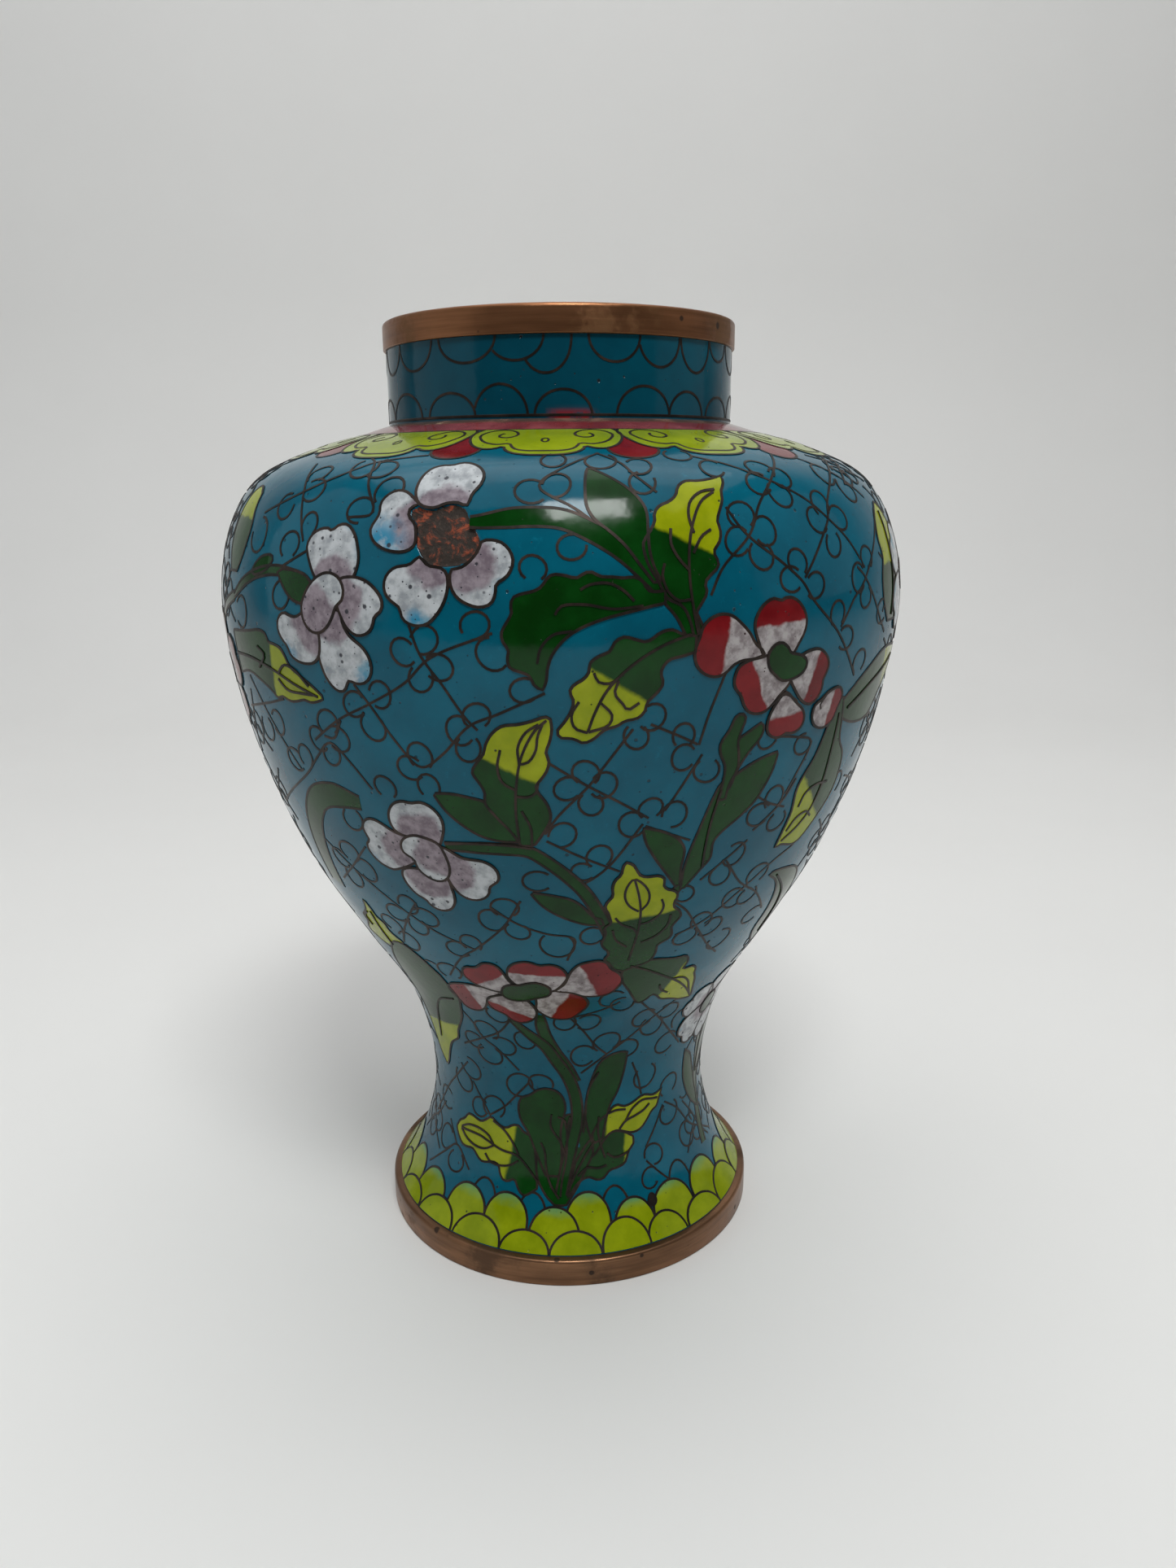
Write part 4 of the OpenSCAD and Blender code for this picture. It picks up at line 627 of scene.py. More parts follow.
# C curls of the wire ground: [bearing, run, radius in mm, where the gap is]
UP, DOWN, LEFT, RIGHT = 90, 270, 180, 0
CURLS = [
    [-43.5, 180.5, 2.5, DOWN], [-34, 182.3, 3, UP], [-30, 181.8, 2.8, LEFT], [-41.8, 176.5, 2.7, LEFT],
    [-47, 173, 2.6, 45], [-52.5, 167.3, 3.2, 135], [-43, 165.8, 2.6, DOWN], [-30.2, 172.4, 2.6, 315],
    [-26.2, 176.3, 2.9, DOWN], [-39.5, 169.6, 2.2, DOWN], [-44, 156.8, 2.6, 45], [-57, 152.5, 3, LEFT],
    [-18.6, 150.6, 2.5, 210], [-21.8, 148.4, 2.4, RIGHT], [-16.8, 146, 2.5, LEFT], [-19.5, 144, 2.4, UP],
    [-11.5, 153.3, 2.4, 250], [-9.3, 148.5, 2.8, 60], [-31, 138.3, 2.5, RIGHT], [-26.3, 140.5, 2.4, 200],
    [-28.3, 134.3, 2.6, UP], [-12, 137.6, 2.4, DOWN], [-14.6, 134.8, 2.6, RIGHT], [-13.6, 131.5, 2.4, UP],
    [-37.2, 134, 2.6, DOWN], [-40.2, 130.3, 2.4, RIGHT], [-35.7, 131, 2.7, LEFT], [-37.9, 127.6, 2.3, UP],
    [-21.2, 129.5, 2.5, DOWN], [-23.1, 127, 2.5, RIGHT], [-20.6, 123.6, 2.3, DOWN], [-45, 125.9, 2.3, DOWN],
    [-51, 131.6, 2.5, LEFT], [-28.4, 122.4, 2.3, DOWN], [-56, 129.5, 2.8, UP], [-48.5, 124.5, 2.6, RIGHT],
    [-1.2, 184.2, 2.3, UP], [6.4, 183.8, 2.7, UP], [12.2, 182, 2.4, LEFT], [20.3, 186, 2.4, UP],
    [-0.7, 177.3, 2.5, 215], [-4.3, 176, 2.6, RIGHT], [12, 177.7, 2.4, 60], [24.6, 181.3, 2.4, RIGHT],
    [34, 181, 2.7, DOWN], [31.6, 177.3, 2.6, RIGHT], [36.9, 178.6, 2.5, LEFT], [34.8, 174.8, 2.6, UP],
    [26.2, 171, 2.6, DOWN], [29.7, 168, 2.5, LEFT], [28.4, 163.8, 2.5, UP], [24.8, 166.4, 2.5, RIGHT],
    [34.8, 162.3, 2.3, DOWN], [33.3, 159.4, 2.4, RIGHT], [38, 158, 2.4, LEFT], [42.9, 172.7, 2.5, DOWN],
    [40.8, 169.6, 2.5, RIGHT], [46.4, 169.8, 2.5, LEFT], [43.3, 165, 2.3, UP], [49.5, 179.5, 2.8, RIGHT],
    [56.5, 179, 2.8, LEFT], [53.5, 175.5, 2.8, UP], [52.2, 162, 2.3, DOWN], [48.9, 158.5, 2.6, RIGHT],
    [51, 154.8, 2.2, UP], [43, 152.5, 2.3, DOWN], [45.6, 147.8, 2.4, LEFT], [51, 142.6, 2.4, DOWN],
    [57.5, 151.3, 2.5, RIGHT], [3, 127, 2.4, DOWN], [0.4, 124, 2.4, RIGHT], [5.6, 124.5, 2.5, LEFT],
    [3.8, 120.8, 2.3, UP], [10, 133.6, 2.3, UP], [12.2, 137, 2.4, LEFT], [17, 133.2, 2.2, DOWN],
    [17.3, 129, 2.4, RIGHT], [21.3, 126, 2.5, UP], [31.5, 131, 2.3, UP], [39.5, 128.2, 2.3, 45],
    [13, 119.2, 2.2, DOWN], [-3.8, 162.6, 2.2, DOWN], [1.3, 166, 2.3, 45], [-5.3, 142.3, 2.3, RIGHT],
    [-37.6, 113.8, 2.6, UP], [-42.5, 105, 2.6, DOWN], [-39.6, 101, 2.7, LEFT], [-45, 97.8, 2.6, UP],
    [-46.6, 102.3, 2.3, RIGHT], [-32.3, 93.8, 2.5, 225], [-29, 91, 2.7, LEFT], [-32.3, 87.5, 2.5, UP],
    [-36.8, 90.4, 2.5, RIGHT], [-41, 85.8, 2.6, DOWN], [-38.6, 81, 2.8, LEFT], [-20.5, 85, 2.4, DOWN],
    [-24.3, 82.4, 2.6, RIGHT], [-11.3, 96.5, 2.6, DOWN], [-14.3, 92.8, 2.8, RIGHT], [-9.6, 90, 2.4, UP],
    [-2, 86, 3.6, UP], [-4.9, 103.6, 2.6, RIGHT], [-30.5, 73.5, 2.8, DOWN], [-36, 73.6, 2, RIGHT],
    [-21.8, 59.3, 2.5, UP], [-28.3, 53, 2.8, DOWN], [-23, 49, 2.7, LEFT], [-35, 48.8, 2.4, RIGHT],
    [-29.5, 45.6, 2.9, UP], [-14.6, 51.8, 2.5, 45], [-0.5, 114.3, 2.6, 225], [5.4, 109.2, 2.5, DOWN],
    [2.8, 105.8, 2.1, RIGHT], [10.3, 116, 2.6, RIGHT], [17, 117.5, 2.6, 225], [4.9, 88.6, 2.4, RIGHT],
    [22, 98, 2.1, LEFT], [28.6, 101.3, 2.5, UP], [30.4, 106, 2.6, 160], [35.8, 117.7, 2.5, DOWN],
    [33.3, 114.5, 2.7, RIGHT], [38.2, 112, 2.3, UP], [34.5, 93.7, 2.7, RIGHT], [38.7, 99, 2.7, DOWN],
    [38.5, 93.3, 2.4, UP], [28.4, 89, 2.5, DOWN], [31.7, 86.3, 2.7, LEFT], [25.8, 84.8, 2.5, UP],
    [37, 80.8, 2.9, 135], [45, 85.5, 2.6, RIGHT], [24.5, 57, 2.7, RIGHT], [33.8, 57.3, 2.6, LEFT],
    [28.7, 53.6, 2.9, UP], [13, 51, 2.9, DOWN], [5, 47.5, 2.8, RIGHT], [20.6, 48.2, 2.7, LEFT],
    [-1, 58.3, 2.5, UP], [6.2, 58.2, 2.6, LEFT], [11.9, 66.4, 2.7, RIGHT], [15.5, 63.8, 2.5, 45],
    [-19, 38.5, 3.1, 315], [-31.3, 31, 2.9, DOWN], [-38.4, 29.8, 2.4, RIGHT], [-41, 39.5, 2.9, 135],
    [-46.5, 35.2, 2.9, UP], [-10.5, 39.5, 2.6, DOWN], [30.5, 38.7, 3, 100], [34.2, 18.4, 2.5, 225],
    [31, 13.5, 2.3, RIGHT], [44.7, 26.3, 2.9, UP], [44, 33.5, 2.8, DOWN], [54, 18.5, 2.9, RIGHT],
    [-57.8, 18, 2.8, RIGHT], [-49, 14.2, 2.6, UP], [38, 46.5, 2.9, RIGHT], [42, 52.5, 2.8, DOWN],
    [55, 116, 2.6, DOWN], [56.5, 30, 2.8, LEFT], [-61, 27, 2.9, RIGHT],
]

HALVES = [0, 180]

# ---------------------------------------------------------------- sizes of the drawing, in mm
SKIN_T = 0.8
CELL_LIFT, LAYER_LIFT, WIRE_LIFT = 0.04, 0.05, 0.04
CELL_BASE = -0.3
WIRE_W = 0.52
VEIN_W = 0.46
WIRE_STEP = 0.9


def moved(points, by):
    return np.asarray(points, float) + [by, 0]


def closed_outline(points, step=0.8):
    return resample(spline(points, 6, closed=True), step, closed=True)


def add_blob(sheet, outline, centre, layer, blend, rings=4, tone=0.0):
    """A cell over a closed outline that can all be seen from its centre."""
    outline = np.asarray(outline, float)
    x, y = outline.T
    if x @ np.roll(y, -1) < y @ np.roll(x, -1):
        outline = outline[::-1]
    shares = np.linspace(0, 1, rings + 1)[1:]
    grid = centre + (outline[None] - centre) * shares[:, None, None]
    grid = np.vstack([np.broadcast_to(centre, (1, len(outline), 2)), grid])
    chart = grid.reshape(-1, 2)
    n = len(outline)
    index = np.arange(len(chart)).reshape(-1, n)
    index[0] = 0
    a, b = index[1:-1], index[2:]
    quads = np.stack([a, b, np.roll(b, -1, 1), np.roll(a, -1, 1)], -1).reshape(-1, 4)
    fan = np.stack([np.zeros(n, int), index[1], np.roll(index[1], -1)], -1)
    size = len(chart)
    high = CELL_LIFT + LAYER_LIFT * layer
    rim = np.stack([index[-1], np.roll(index[-1], -1)], -1)
    wall = np.column_stack([rim[:, 0], rim[:, 0] + size, rim[:, 1] + size, rim[:, 1]])
    tones = tone(chart) if callable(tone) else np.full(size, tone)
    marks = np.column_stack([np.tile(blend(chart), 2), np.tile(tones, 2)])
    sheet.add(
        np.vstack([skin(chart, high), skin(chart, CELL_BASE)]),
        np.vstack([quads, quads[:, ::-1] + size, wall]), marks, np.vstack([fan, fan[:, ::-1] + size]),
    )


def add_ladder(sheet, left, right, layer, blend, across=5, step=1.0, tone=0.0):
    """A cell between two edges that run from its root to its tip."""
    left, right = resample(left, step), resample(right, step)
    count = max(len(left), len(right))
    at = np.linspace(0, 1, count)
    left, right = (
        np.column_stack([np.interp(at, np.linspace(0, 1, len(edge)), edge[:, k]) for k in (0, 1)])
        for edge in (left, right)
    )
    share = np.linspace(0, 1, across + 1)[None, :, None]
    grid = left[:, None] * (1 - share) + right[:, None] * share
    sheet.slab(grid, CELL_BASE, CELL_LIFT + LAYER_LIFT * layer, blend(grid), tone)


def add_wire(sheet, line, layer, width=WIRE_W, closed=False, step=WIRE_STEP, tone=0.0):
    """A flat wire along a chart line, closed into a loop or with two ends."""
    line = resample(line, step, closed)
    if closed:
        ahead, behind = np.roll(line, -1, 0), np.roll(line, 1, 0)
    else:
        ahead, behind = np.vstack([line[1:], line[-1:]]), np.vstack([line[:1], line[:-1]])
    k = mm_per_degree(line[:, 1])
    way = np.column_stack([(ahead[:, 0] - behind[:, 0]) * k, ahead[:, 1] - behind[:, 1]])
    way /= np.linalg.norm(way, axis=1)[:, None] + 1e-9
    side = np.column_stack([way[:, 1] / k, -way[:, 0]]) * width / 2
    high = CELL_LIFT + LAYER_LIFT * layer + WIRE_LIFT
    grid = np.stack([line - side, line + side], axis=1)
    sheet.slab(grid, CELL_BASE, high, 0.0, tone, loop=closed)


def line_blend(a, b):
    """Signed distance in mm from the chart line a-b, positive on its right."""
    a, b = np.array(a, float), np.array(b, float)
    k = mm_per_degree((a[1] + b[1]) / 2)
    way = np.array([(b[0] - a[0]) * k, b[1] - a[1]])
    way /= np.linalg.norm(way)

    def blend(chart, shift=a):
        d = np.asarray(chart) - shift
        return way[1] * d[..., 0] * k - way[0] * d[..., 1]
    return blend


def near_blend(spot):
    """Distance in mm from a chart spot."""
    def blend(chart):
        d = np.asarray(chart) - spot
        return np.hypot(d[..., 0] * mm_per_degree(spot[1]), d[..., 1])
    return blend


def no_blend(chart):
    return np.zeros(np.shape(chart)[:-1])


class Cover:
    """Remembers which parts of the chart motifs cover, so that the wire ground stops there."""

    CELLS_PER_DEGREE, CELLS_PER_MM = 5, 5

    def __init__(self):
        self.map = np.zeros((360 * self.CELLS_PER_DEGREE, int(MOUTH_RUN + 2) * self.CELLS_PER_MM), bool)

    def fill(self, outline):
        outline = np.asarray(outline, float)
        low, high = outline.min(0), outline.max(0)
        fine = np.array([self.CELLS_PER_DEGREE, self.CELLS_PER_MM])
        low, high = np.floor(low * fine).astype(int), np.ceil(high * fine).astype(int) + 1
        bearing, run = np.arange(low[0], high[0]), np.arange(max(0, low[1]), high[1])
        x, y = np.meshgrid(bearing / self.CELLS_PER_DEGREE, run / self.CELLS_PER_MM, indexing="ij")
        inside = np.zeros(x.shape, bool)
        for (x0, y0), (x1, y1) in zip(outline, np.roll(outline, -1, axis=0)):
            if y0 != y1:
                crosses = ((y0 > y) != (y1 > y)) & (x < (x1 - x0) * (y - y0) / (y1 - y0) + x0)
                inside ^= crosses
        columns = bearing % self.map.shape[0]
        rows = np.clip(run, 0, self.map.shape[1] - 1)
        self.map[np.ix_(columns, rows)] |= inside

    def hides(self, chart):
        bearing = np.round(chart[..., 0] * self.CELLS_PER_DEGREE).astype(int) % self.map.shape[0]
        run = np.clip(np.round(chart[..., 1] * self.CELLS_PER_MM).astype(int), 0, self.map.shape[1] - 1)
        return self.map[bearing, run]

    def free_parts(self, line, shortest=4):
        """The stretches of a chart line that no motif hides."""
        shown = ~self.hides(line)
        cuts = np.flatnonzero(np.diff(shown.astype(int))) + 1
        for stretch, part in zip(np.split(shown, cuts), np.split(line, cuts)):
            if stretch[0] and len(part) >= shortest:
                yield part


# ---------------------------------------------------------------- materials
class Shader:
    """A material with a Principled shader and short ways to add nodes to it."""

    def __init__(self, name, roughness=0.3, metallic=0.0):
        self.material = bpy.data.materials.new(name)
        self.material.use_nodes = True
        self.tree = self.material.node_tree
        self.bsdf = self.tree.nodes["Principled BSDF"]
        self.place = self.tree.nodes.new("ShaderNodeTexCoord").outputs["Object"]
        for socket, value in (("Roughness", roughness), ("Metallic", metallic), ("Specular IOR Level", 0.22)):
            self.bsdf.inputs[socket].default_value = value

    def node(self, kind, inputs, **props):
        node = self.tree.nodes.new("ShaderNode" + kind)
        for key, value in props.items():
            setattr(node, key, value)
        for key, value in inputs.items():
            if isinstance(value, bpy.types.NodeSocket):
                self.tree.links.new(value, node.inputs[key])
            else:
                node.inputs[key].default_value = value
        return node

    def feed(self, socket, value):
        self.tree.links.new(value, self.bsdf.inputs[socket])

    def math(self, operation, a, b=0.0, c=0.0):
        return self.node("Math", {0: a, 1: b, 2: c}, operation=operation).outputs[0]

    def stretched(self, scale, shift=0.0):
        return self.node("Mapping", {"Vector": self.place, "Location": (shift,) * 3, "Scale": scale}).outputs[0]

    def noise(self, scale, detail=3.0, rough=0.55, place=None, seed=0.0, twist=0.0):
        inputs = {
            "Vector": place or self.place, "W": seed, "Scale": scale, "Detail": detail, "Roughness": rough,
            "Distortion": twist,
        }
        return self.node("TexNoise", inputs, noise_dimensions="4D").outputs["Fac"]

    def step(self, value, low, high, to_low=0.0, to_high=1.0):
        """Smooth change of value from low to high, as to_low to to_high."""
        inputs = {"Value": value, "From Min": low, "From Max": high, "To Min": to_low, "To Max": to_high}
        return self.node("MapRange", inputs, interpolation_type="SMOOTHSTEP").outputs["Result"]

    def mix(self, share, a, b):
        a, b = ((*c, 1.0) if isinstance(c, tuple) else c for c in (a, b))
        node = self.node("Mix", {}, data_type="RGBA")
        for key, value in (("Factor_Float", share), ("A_Color", a), ("B_Color", b)):
            socket = next(s for s in node.inputs if s.identifier == key)
            if isinstance(value, bpy.types.NodeSocket):
                self.tree.links.new(value, socket)
            else:
                socket.default_value = value
        return next(s for s in node.outputs if s.identifier == "Result_Color")

    def mark(self, name):
        return self.node("Attribute", {}, attribute_name=name).outputs["Fac"]

    def ragged(self, width, *noise, **more):
        """The mark blend, with its levels shaken by noise that is width high in all."""
        shake = self.math("MULTIPLY_ADD", self.noise(*noise, **more), width, -width / 2)
        return self.math("ADD", self.mark("blend"), shake)

    def specks(self, scale, size, share, seed=0.0):
        """1 in small round spots, 0 elsewhere: share of the cells hold one, size is its radius in cells."""
        cells = self.node("TexVoronoi", {"Vector": self.stretched((1, 1, 1), seed), "Scale": scale}, feature="F1")
        pick = self.node("SeparateColor", {"Color": cells.outputs["Color"]})
        wanted = self.math("LESS_THAN", pick.outputs["Red"], share)
        radius = self.math("MULTIPLY_ADD", pick.outputs["Green"], size * 0.7, size * 0.5)
        away = self.math("DIVIDE", cells.outputs["Distance"], radius)
        near = self.math("SUBTRACT", 1.0, self.step(away, 0.6, 1.1))
        return self.math("MULTIPLY", wanted, near)

    def bump(self, height, strength, distance, before=None):
        inputs = {"Height": height, "Strength": strength, "Distance": distance}
        if before is not None:
            inputs["Normal"] = before
        return self.node("Bump", inputs).outputs["Normal"]


def finish_enamel(
    shader, colour, pits=(420, 0.13, 0.18), fine=(1100, 0.16, 0.1), ink=(0.012, 0.014, 0.016)
):
    """Pinholes, a faint orange peel and the gloss of polished enamel."""
    large = shader.specks(*pits)
    small = shader.specks(*fine, seed=3.0)
    holes = shader.math("MAXIMUM", large, small)
    shader.feed("Base Color", shader.mix(shader.math("MULTIPLY", holes, 0.92), colour, ink))
    waves = shader.noise(260, 2.0)
    normal = shader.bump(waves, 0.12, 0.0004)
    normal = shader.bump(shader.math("SUBTRACT", 1.0, holes), 0.5, 0.0002, normal)
    shader.feed("Normal", normal)
    worn = shader.noise(90, 3.0, seed=5.0)
    shader.feed("Roughness", shader.step(worn, 0.35, 0.75, 0.09, 0.2))
    return shader.material


def clouded(shader, deep, pale, scale=60, seed=1.0, low=0.3, high=0.72):
    """Two shades of one enamel in soft clouds."""
    return shader.mix(shader.step(shader.noise(scale, 5.0, 0.6, seed=seed), low, high), deep, pale)


def turquoise_enamel():
    shader = Shader("turquoise_enamel")
    colour = clouded(shader, (0.0002, 0.077, 0.124), (0.0004, 0.113, 0.176))
    grain = shader.step(shader.noise(700, 4.0, 0.7, seed=2.0), 0.58, 0.75)
    colour = shader.mix(shader.math("MULTIPLY", grain, 0.35), colour, (0.006, 0.2, 0.3))
    # Bare, corroded copper where the enamel has come off: mark blend is 1 there
    bare = shader.step(shader.ragged(0.5, 900), 0.42, 0.6)
    rust = shader.noise(330, 8.0, 0.72, seed=9.0, twist=1.2)
    copper = shader.mix(shader.step(rust, 0.5, 0.64), (0.035, 0.026, 0.021), (0.36, 0.075, 0.032))
    dust = shader.step(shader.noise(1300, 5.0, 0.7, seed=4.0), 0.5, 0.75)
    copper = shader.mix(dust, copper, (0.09, 0.06, 0.045))
    holes = shader.math("MAXIMUM", shader.specks(420, 0.15, 0.2), shader.specks(1000, 0.16, 0.1, seed=3.0))
    colour = shader.mix(shader.math("MULTIPLY", holes, 0.85), colour, (0.008, 0.03, 0.045))
    shader.feed("Base Color", shader.mix(bare, colour, copper))
    normal = shader.bump(shader.noise(240, 2.0), 0.13, 0.0004)
    normal = shader.bump(shader.math("SUBTRACT", 1.0, holes), 0.5, 0.0002, normal)
    rough_relief = shader.math("MULTIPLY", rust, bare)
    shader.feed("Normal", shader.bump(rough_relief, 0.9, 0.0006, normal))
    gloss = shader.step(shader.noise(90, 3.0, seed=5.0), 0.35, 0.75, 0.085, 0.19)
    shader.feed("Roughness", shader.math("ADD", gloss, shader.math("MULTIPLY", bare, 0.5)))
    return shader.material


def neck_blue():
    shader = Shader("neck_enamel")
    colour = clouded(shader, (0.0003, 0.052, 0.085), (0.0006, 0.083, 0.13), 45)
    # A smear of red that ran over the root of the neck at the front
    smear = shader.math("MULTIPLY", shader.mark("blend"), shader.step(shader.noise(500, 4.0), 0.35, 0.5))
    return finish_enamel(shader, shader.mix(smear, colour, (0.30, 0.02, 0.025)))


def collar_red():
    shader = Shader("collar_enamel")
    colour = clouded(shader, (0.15, 0.02, 0.024), (0.31, 0.075, 0.082), 75, low=0.36, high=0.66)
    dark = shader.step(shader.noise(38, 3.0, seed=6.0), 0.52, 0.7)
    colour = shader.mix(dark, colour, (0.10, 0.012, 0.018))
    top = shader.ragged(3.0, 160, 5.0)
    patches = shader.step(shader.noise(210, 5.0, seed=8.0), 0.45, 0.65)
    brown = shader.mix(patches, (0.085, 0.055, 0.045), (0.20, 0.11, 0.08))
    colour = shader.mix(shader.step(top, 4.6, 6.2), colour, brown)
    spots = shader.step(shader.noise(120, 4.0, seed=12.0), 0.6, 0.66)
    chips = shader.math("MULTIPLY", shader.step(top, 5.2, 6.4), spots)
    return finish_enamel(shader, shader.mix(chips, colour, (0.5, 0.36, 0.25)))


def lime(name, top_fade):
    """Yellow-green; the far end of each cell fades to blue-green by the share top_fade."""
    shader = Shader(name)
    colour = clouded(shader, (0.19, 0.25, 0.0008), (0.29, 0.355, 0.005), 120)
    far = shader.step(shader.ragged(0.3, 300, 4.0, seed=7.0), 0.72, 1.05)
    colour = shader.mix(shader.math("MULTIPLY", far, top_fade), colour, (0.06, 0.28, 0.16))
    return finish_enamel(shader, colour, pits=(420, 0.12, 0.14), ink=(0.05, 0.07, 0.01))


def white_petal():
    shader = Shader("white_enamel")
    mottle = clouded(shader, (0.28, 0.30, 0.32), (0.52, 0.545, 0.565), 420, low=0.32, high=0.62)
    lilac = clouded(shader, (0.16, 0.125, 0.15), (0.30, 0.255, 0.285), 500, seed=6.0, low=0.35, high=0.65)
    away = shader.ragged(5.0, 230, 4.0, seed=8.0)
    colour = shader.mix(shader.step(away, 4.4, 6.0), lilac, mottle)
    patches = shader.step(shader.noise(140, 3.0, seed=11.0), 0.5, 0.62)
    rim = shader.math("MULTIPLY", shader.step(away, 8.6, 10.6), patches)
    colour = shader.mix(shader.math("MULTIPLY", rim, 0.75), colour, (0.05, 0.25, 0.36))
    uneven = shader.step(shader.noise(420, 4.0, seed=14.0), 0.3, 0.55)
    stain = shader.math("MULTIPLY", shader.mark("tone"), uneven)
    colour = shader.mix(stain, colour, (0.03, 0.22, 0.36))
    pits, fine = (620, 0.27, 0.34), (1500, 0.24, 0.24)
    return finish_enamel(shader, colour, pits=pits, fine=fine, ink=(0.03, 0.03, 0.04))


def red_petal():
    shader = Shader("red_enamel")
    white = clouded(shader, (0.19, 0.16, 0.165), (0.42, 0.39, 0.39), 480, low=0.34, high=0.64)
    away = shader.ragged(2.0, 260, 4.0, seed=8.0)
    crimson = clouded(shader, (0.115, 0.003, 0.005), (0.20, 0.008, 0.011), 120, seed=3.0)
    colour = shader.mix(shader.step(away, -0.3, 0.35), white, crimson)
    pits, fine = (520, 0.14, 0.2), (1400, 0.2, 0.16)
    return finish_enamel(shader, colour, pits=pits, fine=fine, ink=(0.03, 0.008, 0.008))


def tongue_red():
    shader = Shader("tongue_red")
    return finish_enamel(shader, clouded(shader, (0.11, 0.003, 0.006), (0.19, 0.012, 0.016), 150))


def leaf_green():
    shader = Shader("leaf_enamel")
    green = clouded(shader, (0.0008, 0.026, 0.0008), (0.002, 0.050, 0.004), 130)
    yellow = clouded(shader, (0.23, 0.28, 0.0008), (0.33, 0.37, 0.005), 150, seed=3.0)
    away = shader.ragged(1.6, 300, 4.0, seed=8.0)
    colour = shader.mix(shader.step(away, -0.5, 0.5), green, yellow)
    return finish_enamel(shader, colour, ink=(0.01, 0.02, 0.005))


def wire_copper():
    shader = Shader("wire_copper", roughness=0.42, metallic=0.4)
    patches = shader.step(shader.noise(180, 5.0, 0.65), 0.4, 0.7)
    colour = shader.mix(patches, (0.016, 0.012, 0.010), (0.050, 0.033, 0.026))
    shader.feed("Base Color", colour)
    shader.feed("Normal", shader.bump(shader.noise(1500, 3.0), 0.3, 0.0001))
    return shader.material


def band_copper(name, dark, pale, tarnish, lines):
    """Copper brushed round the axis, with streaks, dull patches and verdigris spots."""
    shader = Shader(name, metallic=0.85)
    round_lines = shader.noise(1.0, 6.0, 0.7, shader.stretched(lines), seed=1.0)
    wide = shader.noise(1.0, 3.0, 0.6, shader.stretched((30, 30, 140)), seed=2.0)
    streaks = shader.math("MULTIPLY_ADD", wide, 0.6, shader.math("MULTIPLY", round_lines, 0.4))
    colour = shader.mix(shader.step(streaks, 0.36, 0.66), dark, pale)
    patches = shader.step(shader.noise(70, 6.0, 0.65, seed=4.0), 0.5, 0.66)
    colour = shader.mix(shader.math("MULTIPLY", patches, 0.7), colour, tarnish)
    spots = shader.specks(260, 0.2, 0.2, seed=5.0)
    colour = shader.mix(shader.math("MULTIPLY", spots, 0.8), colour, (0.03, 0.025, 0.022))
    shader.feed("Base Color", colour)
    dull = shader.math("MAXIMUM", patches, spots)
    shader.feed("Roughness", shader.step(dull, 0.0, 1.0, 0.34, 0.6))
    normal = shader.bump(round_lines, 0.25, 0.0002)
    shader.feed("Normal", shader.bump(shader.noise(160, 4.0, seed=7.0), 0.3, 0.0006, normal))
    return shader.material


def lining_blue():
    shader = Shader("lining_enamel")
    return finish_enamel(shader, clouded(shader, (0.02, 0.17, 0.25), (0.05, 0.27, 0.36), 50))


def floor_paint():
    shader = Shader("studio_sweep", roughness=0.6)
    pale = shader.mix(shader.noise(6, 3.0), (0.80, 0.795, 0.78), (0.85, 0.845, 0.83))
    shader.feed("Base Color", pale)
    return shader.material


# ---------------------------------------------------------------- skins: ground, collar, neck
DAMAGE = [
    [-21.6, 172.6], [-20.5, 173.3], [-19.2, 172.7], [-18, 172.6], [-16.5, 173.4], [-14.8, 173.6],
    [-13.3, 172.8], [-12.6, 171], [-11.5, 168.8], [-10.8, 167.2], [-11.2, 165.4], [-12.5, 163.5],
    [-14, 162.7], [-16, 162.6], [-18, 163], [-19.2, 164.4], [-20.1, 166.3], [-20.1, 168.2], [-20.5, 170],
    [-21.5, 171.2],
]
DAMAGE_DEPTH, DAMAGE_SLOPE, DAMAGE_RIM = 0.5, 0.5, 0.35


def depth_inside(chart, outline):
    """How far in mm chart points lie inside an outline; 0 outside it."""
    k = mm_per_degree(np.mean([p[1] for p in outline]))
    p = np.stack([chart[..., 0] * k, chart[..., 1]], -1)
    edge = np.array([[x * k, y] for x, y in outline])
    inside = np.zeros(p.shape[:-1], bool)
    nearest = np.full(p.shape[:-1], 1e9)
    for a, b in zip(edge, np.roll(edge, -1, axis=0)):
        crosses = (a[1] > p[..., 1]) != (b[1] > p[..., 1])
        if a[1] != b[1]:
            x = (b[0] - a[0]) * (p[..., 1] - a[1]) / (b[1] - a[1]) + a[0]
            inside ^= crosses & (p[..., 0] < x)
        t = np.clip(((p - a) @ (b - a)) / ((b - a) @ (b - a)), 0, 1)
        nearest = np.minimum(nearest, np.linalg.norm(p - a - t[..., None] * (b - a), axis=-1))
    return np.where(inside, nearest, 0.0)


def uneven(low, high, step, fine_low, fine_high, fine_step):
    """Values from low to high in steps, finer between fine_low and fine_high."""
    parts = [
        np.linspace(low, fine_low, max(2, int((fine_low - low) / step)), endpoint=False),
        np.linspace(fine_low, fine_high, int((fine_high - fine_low) / fine_step), endpoint=False),
        np.linspace(fine_high, high, max(2, int((high - fine_high) / step))),
    ]
    return np.concatenate(parts)


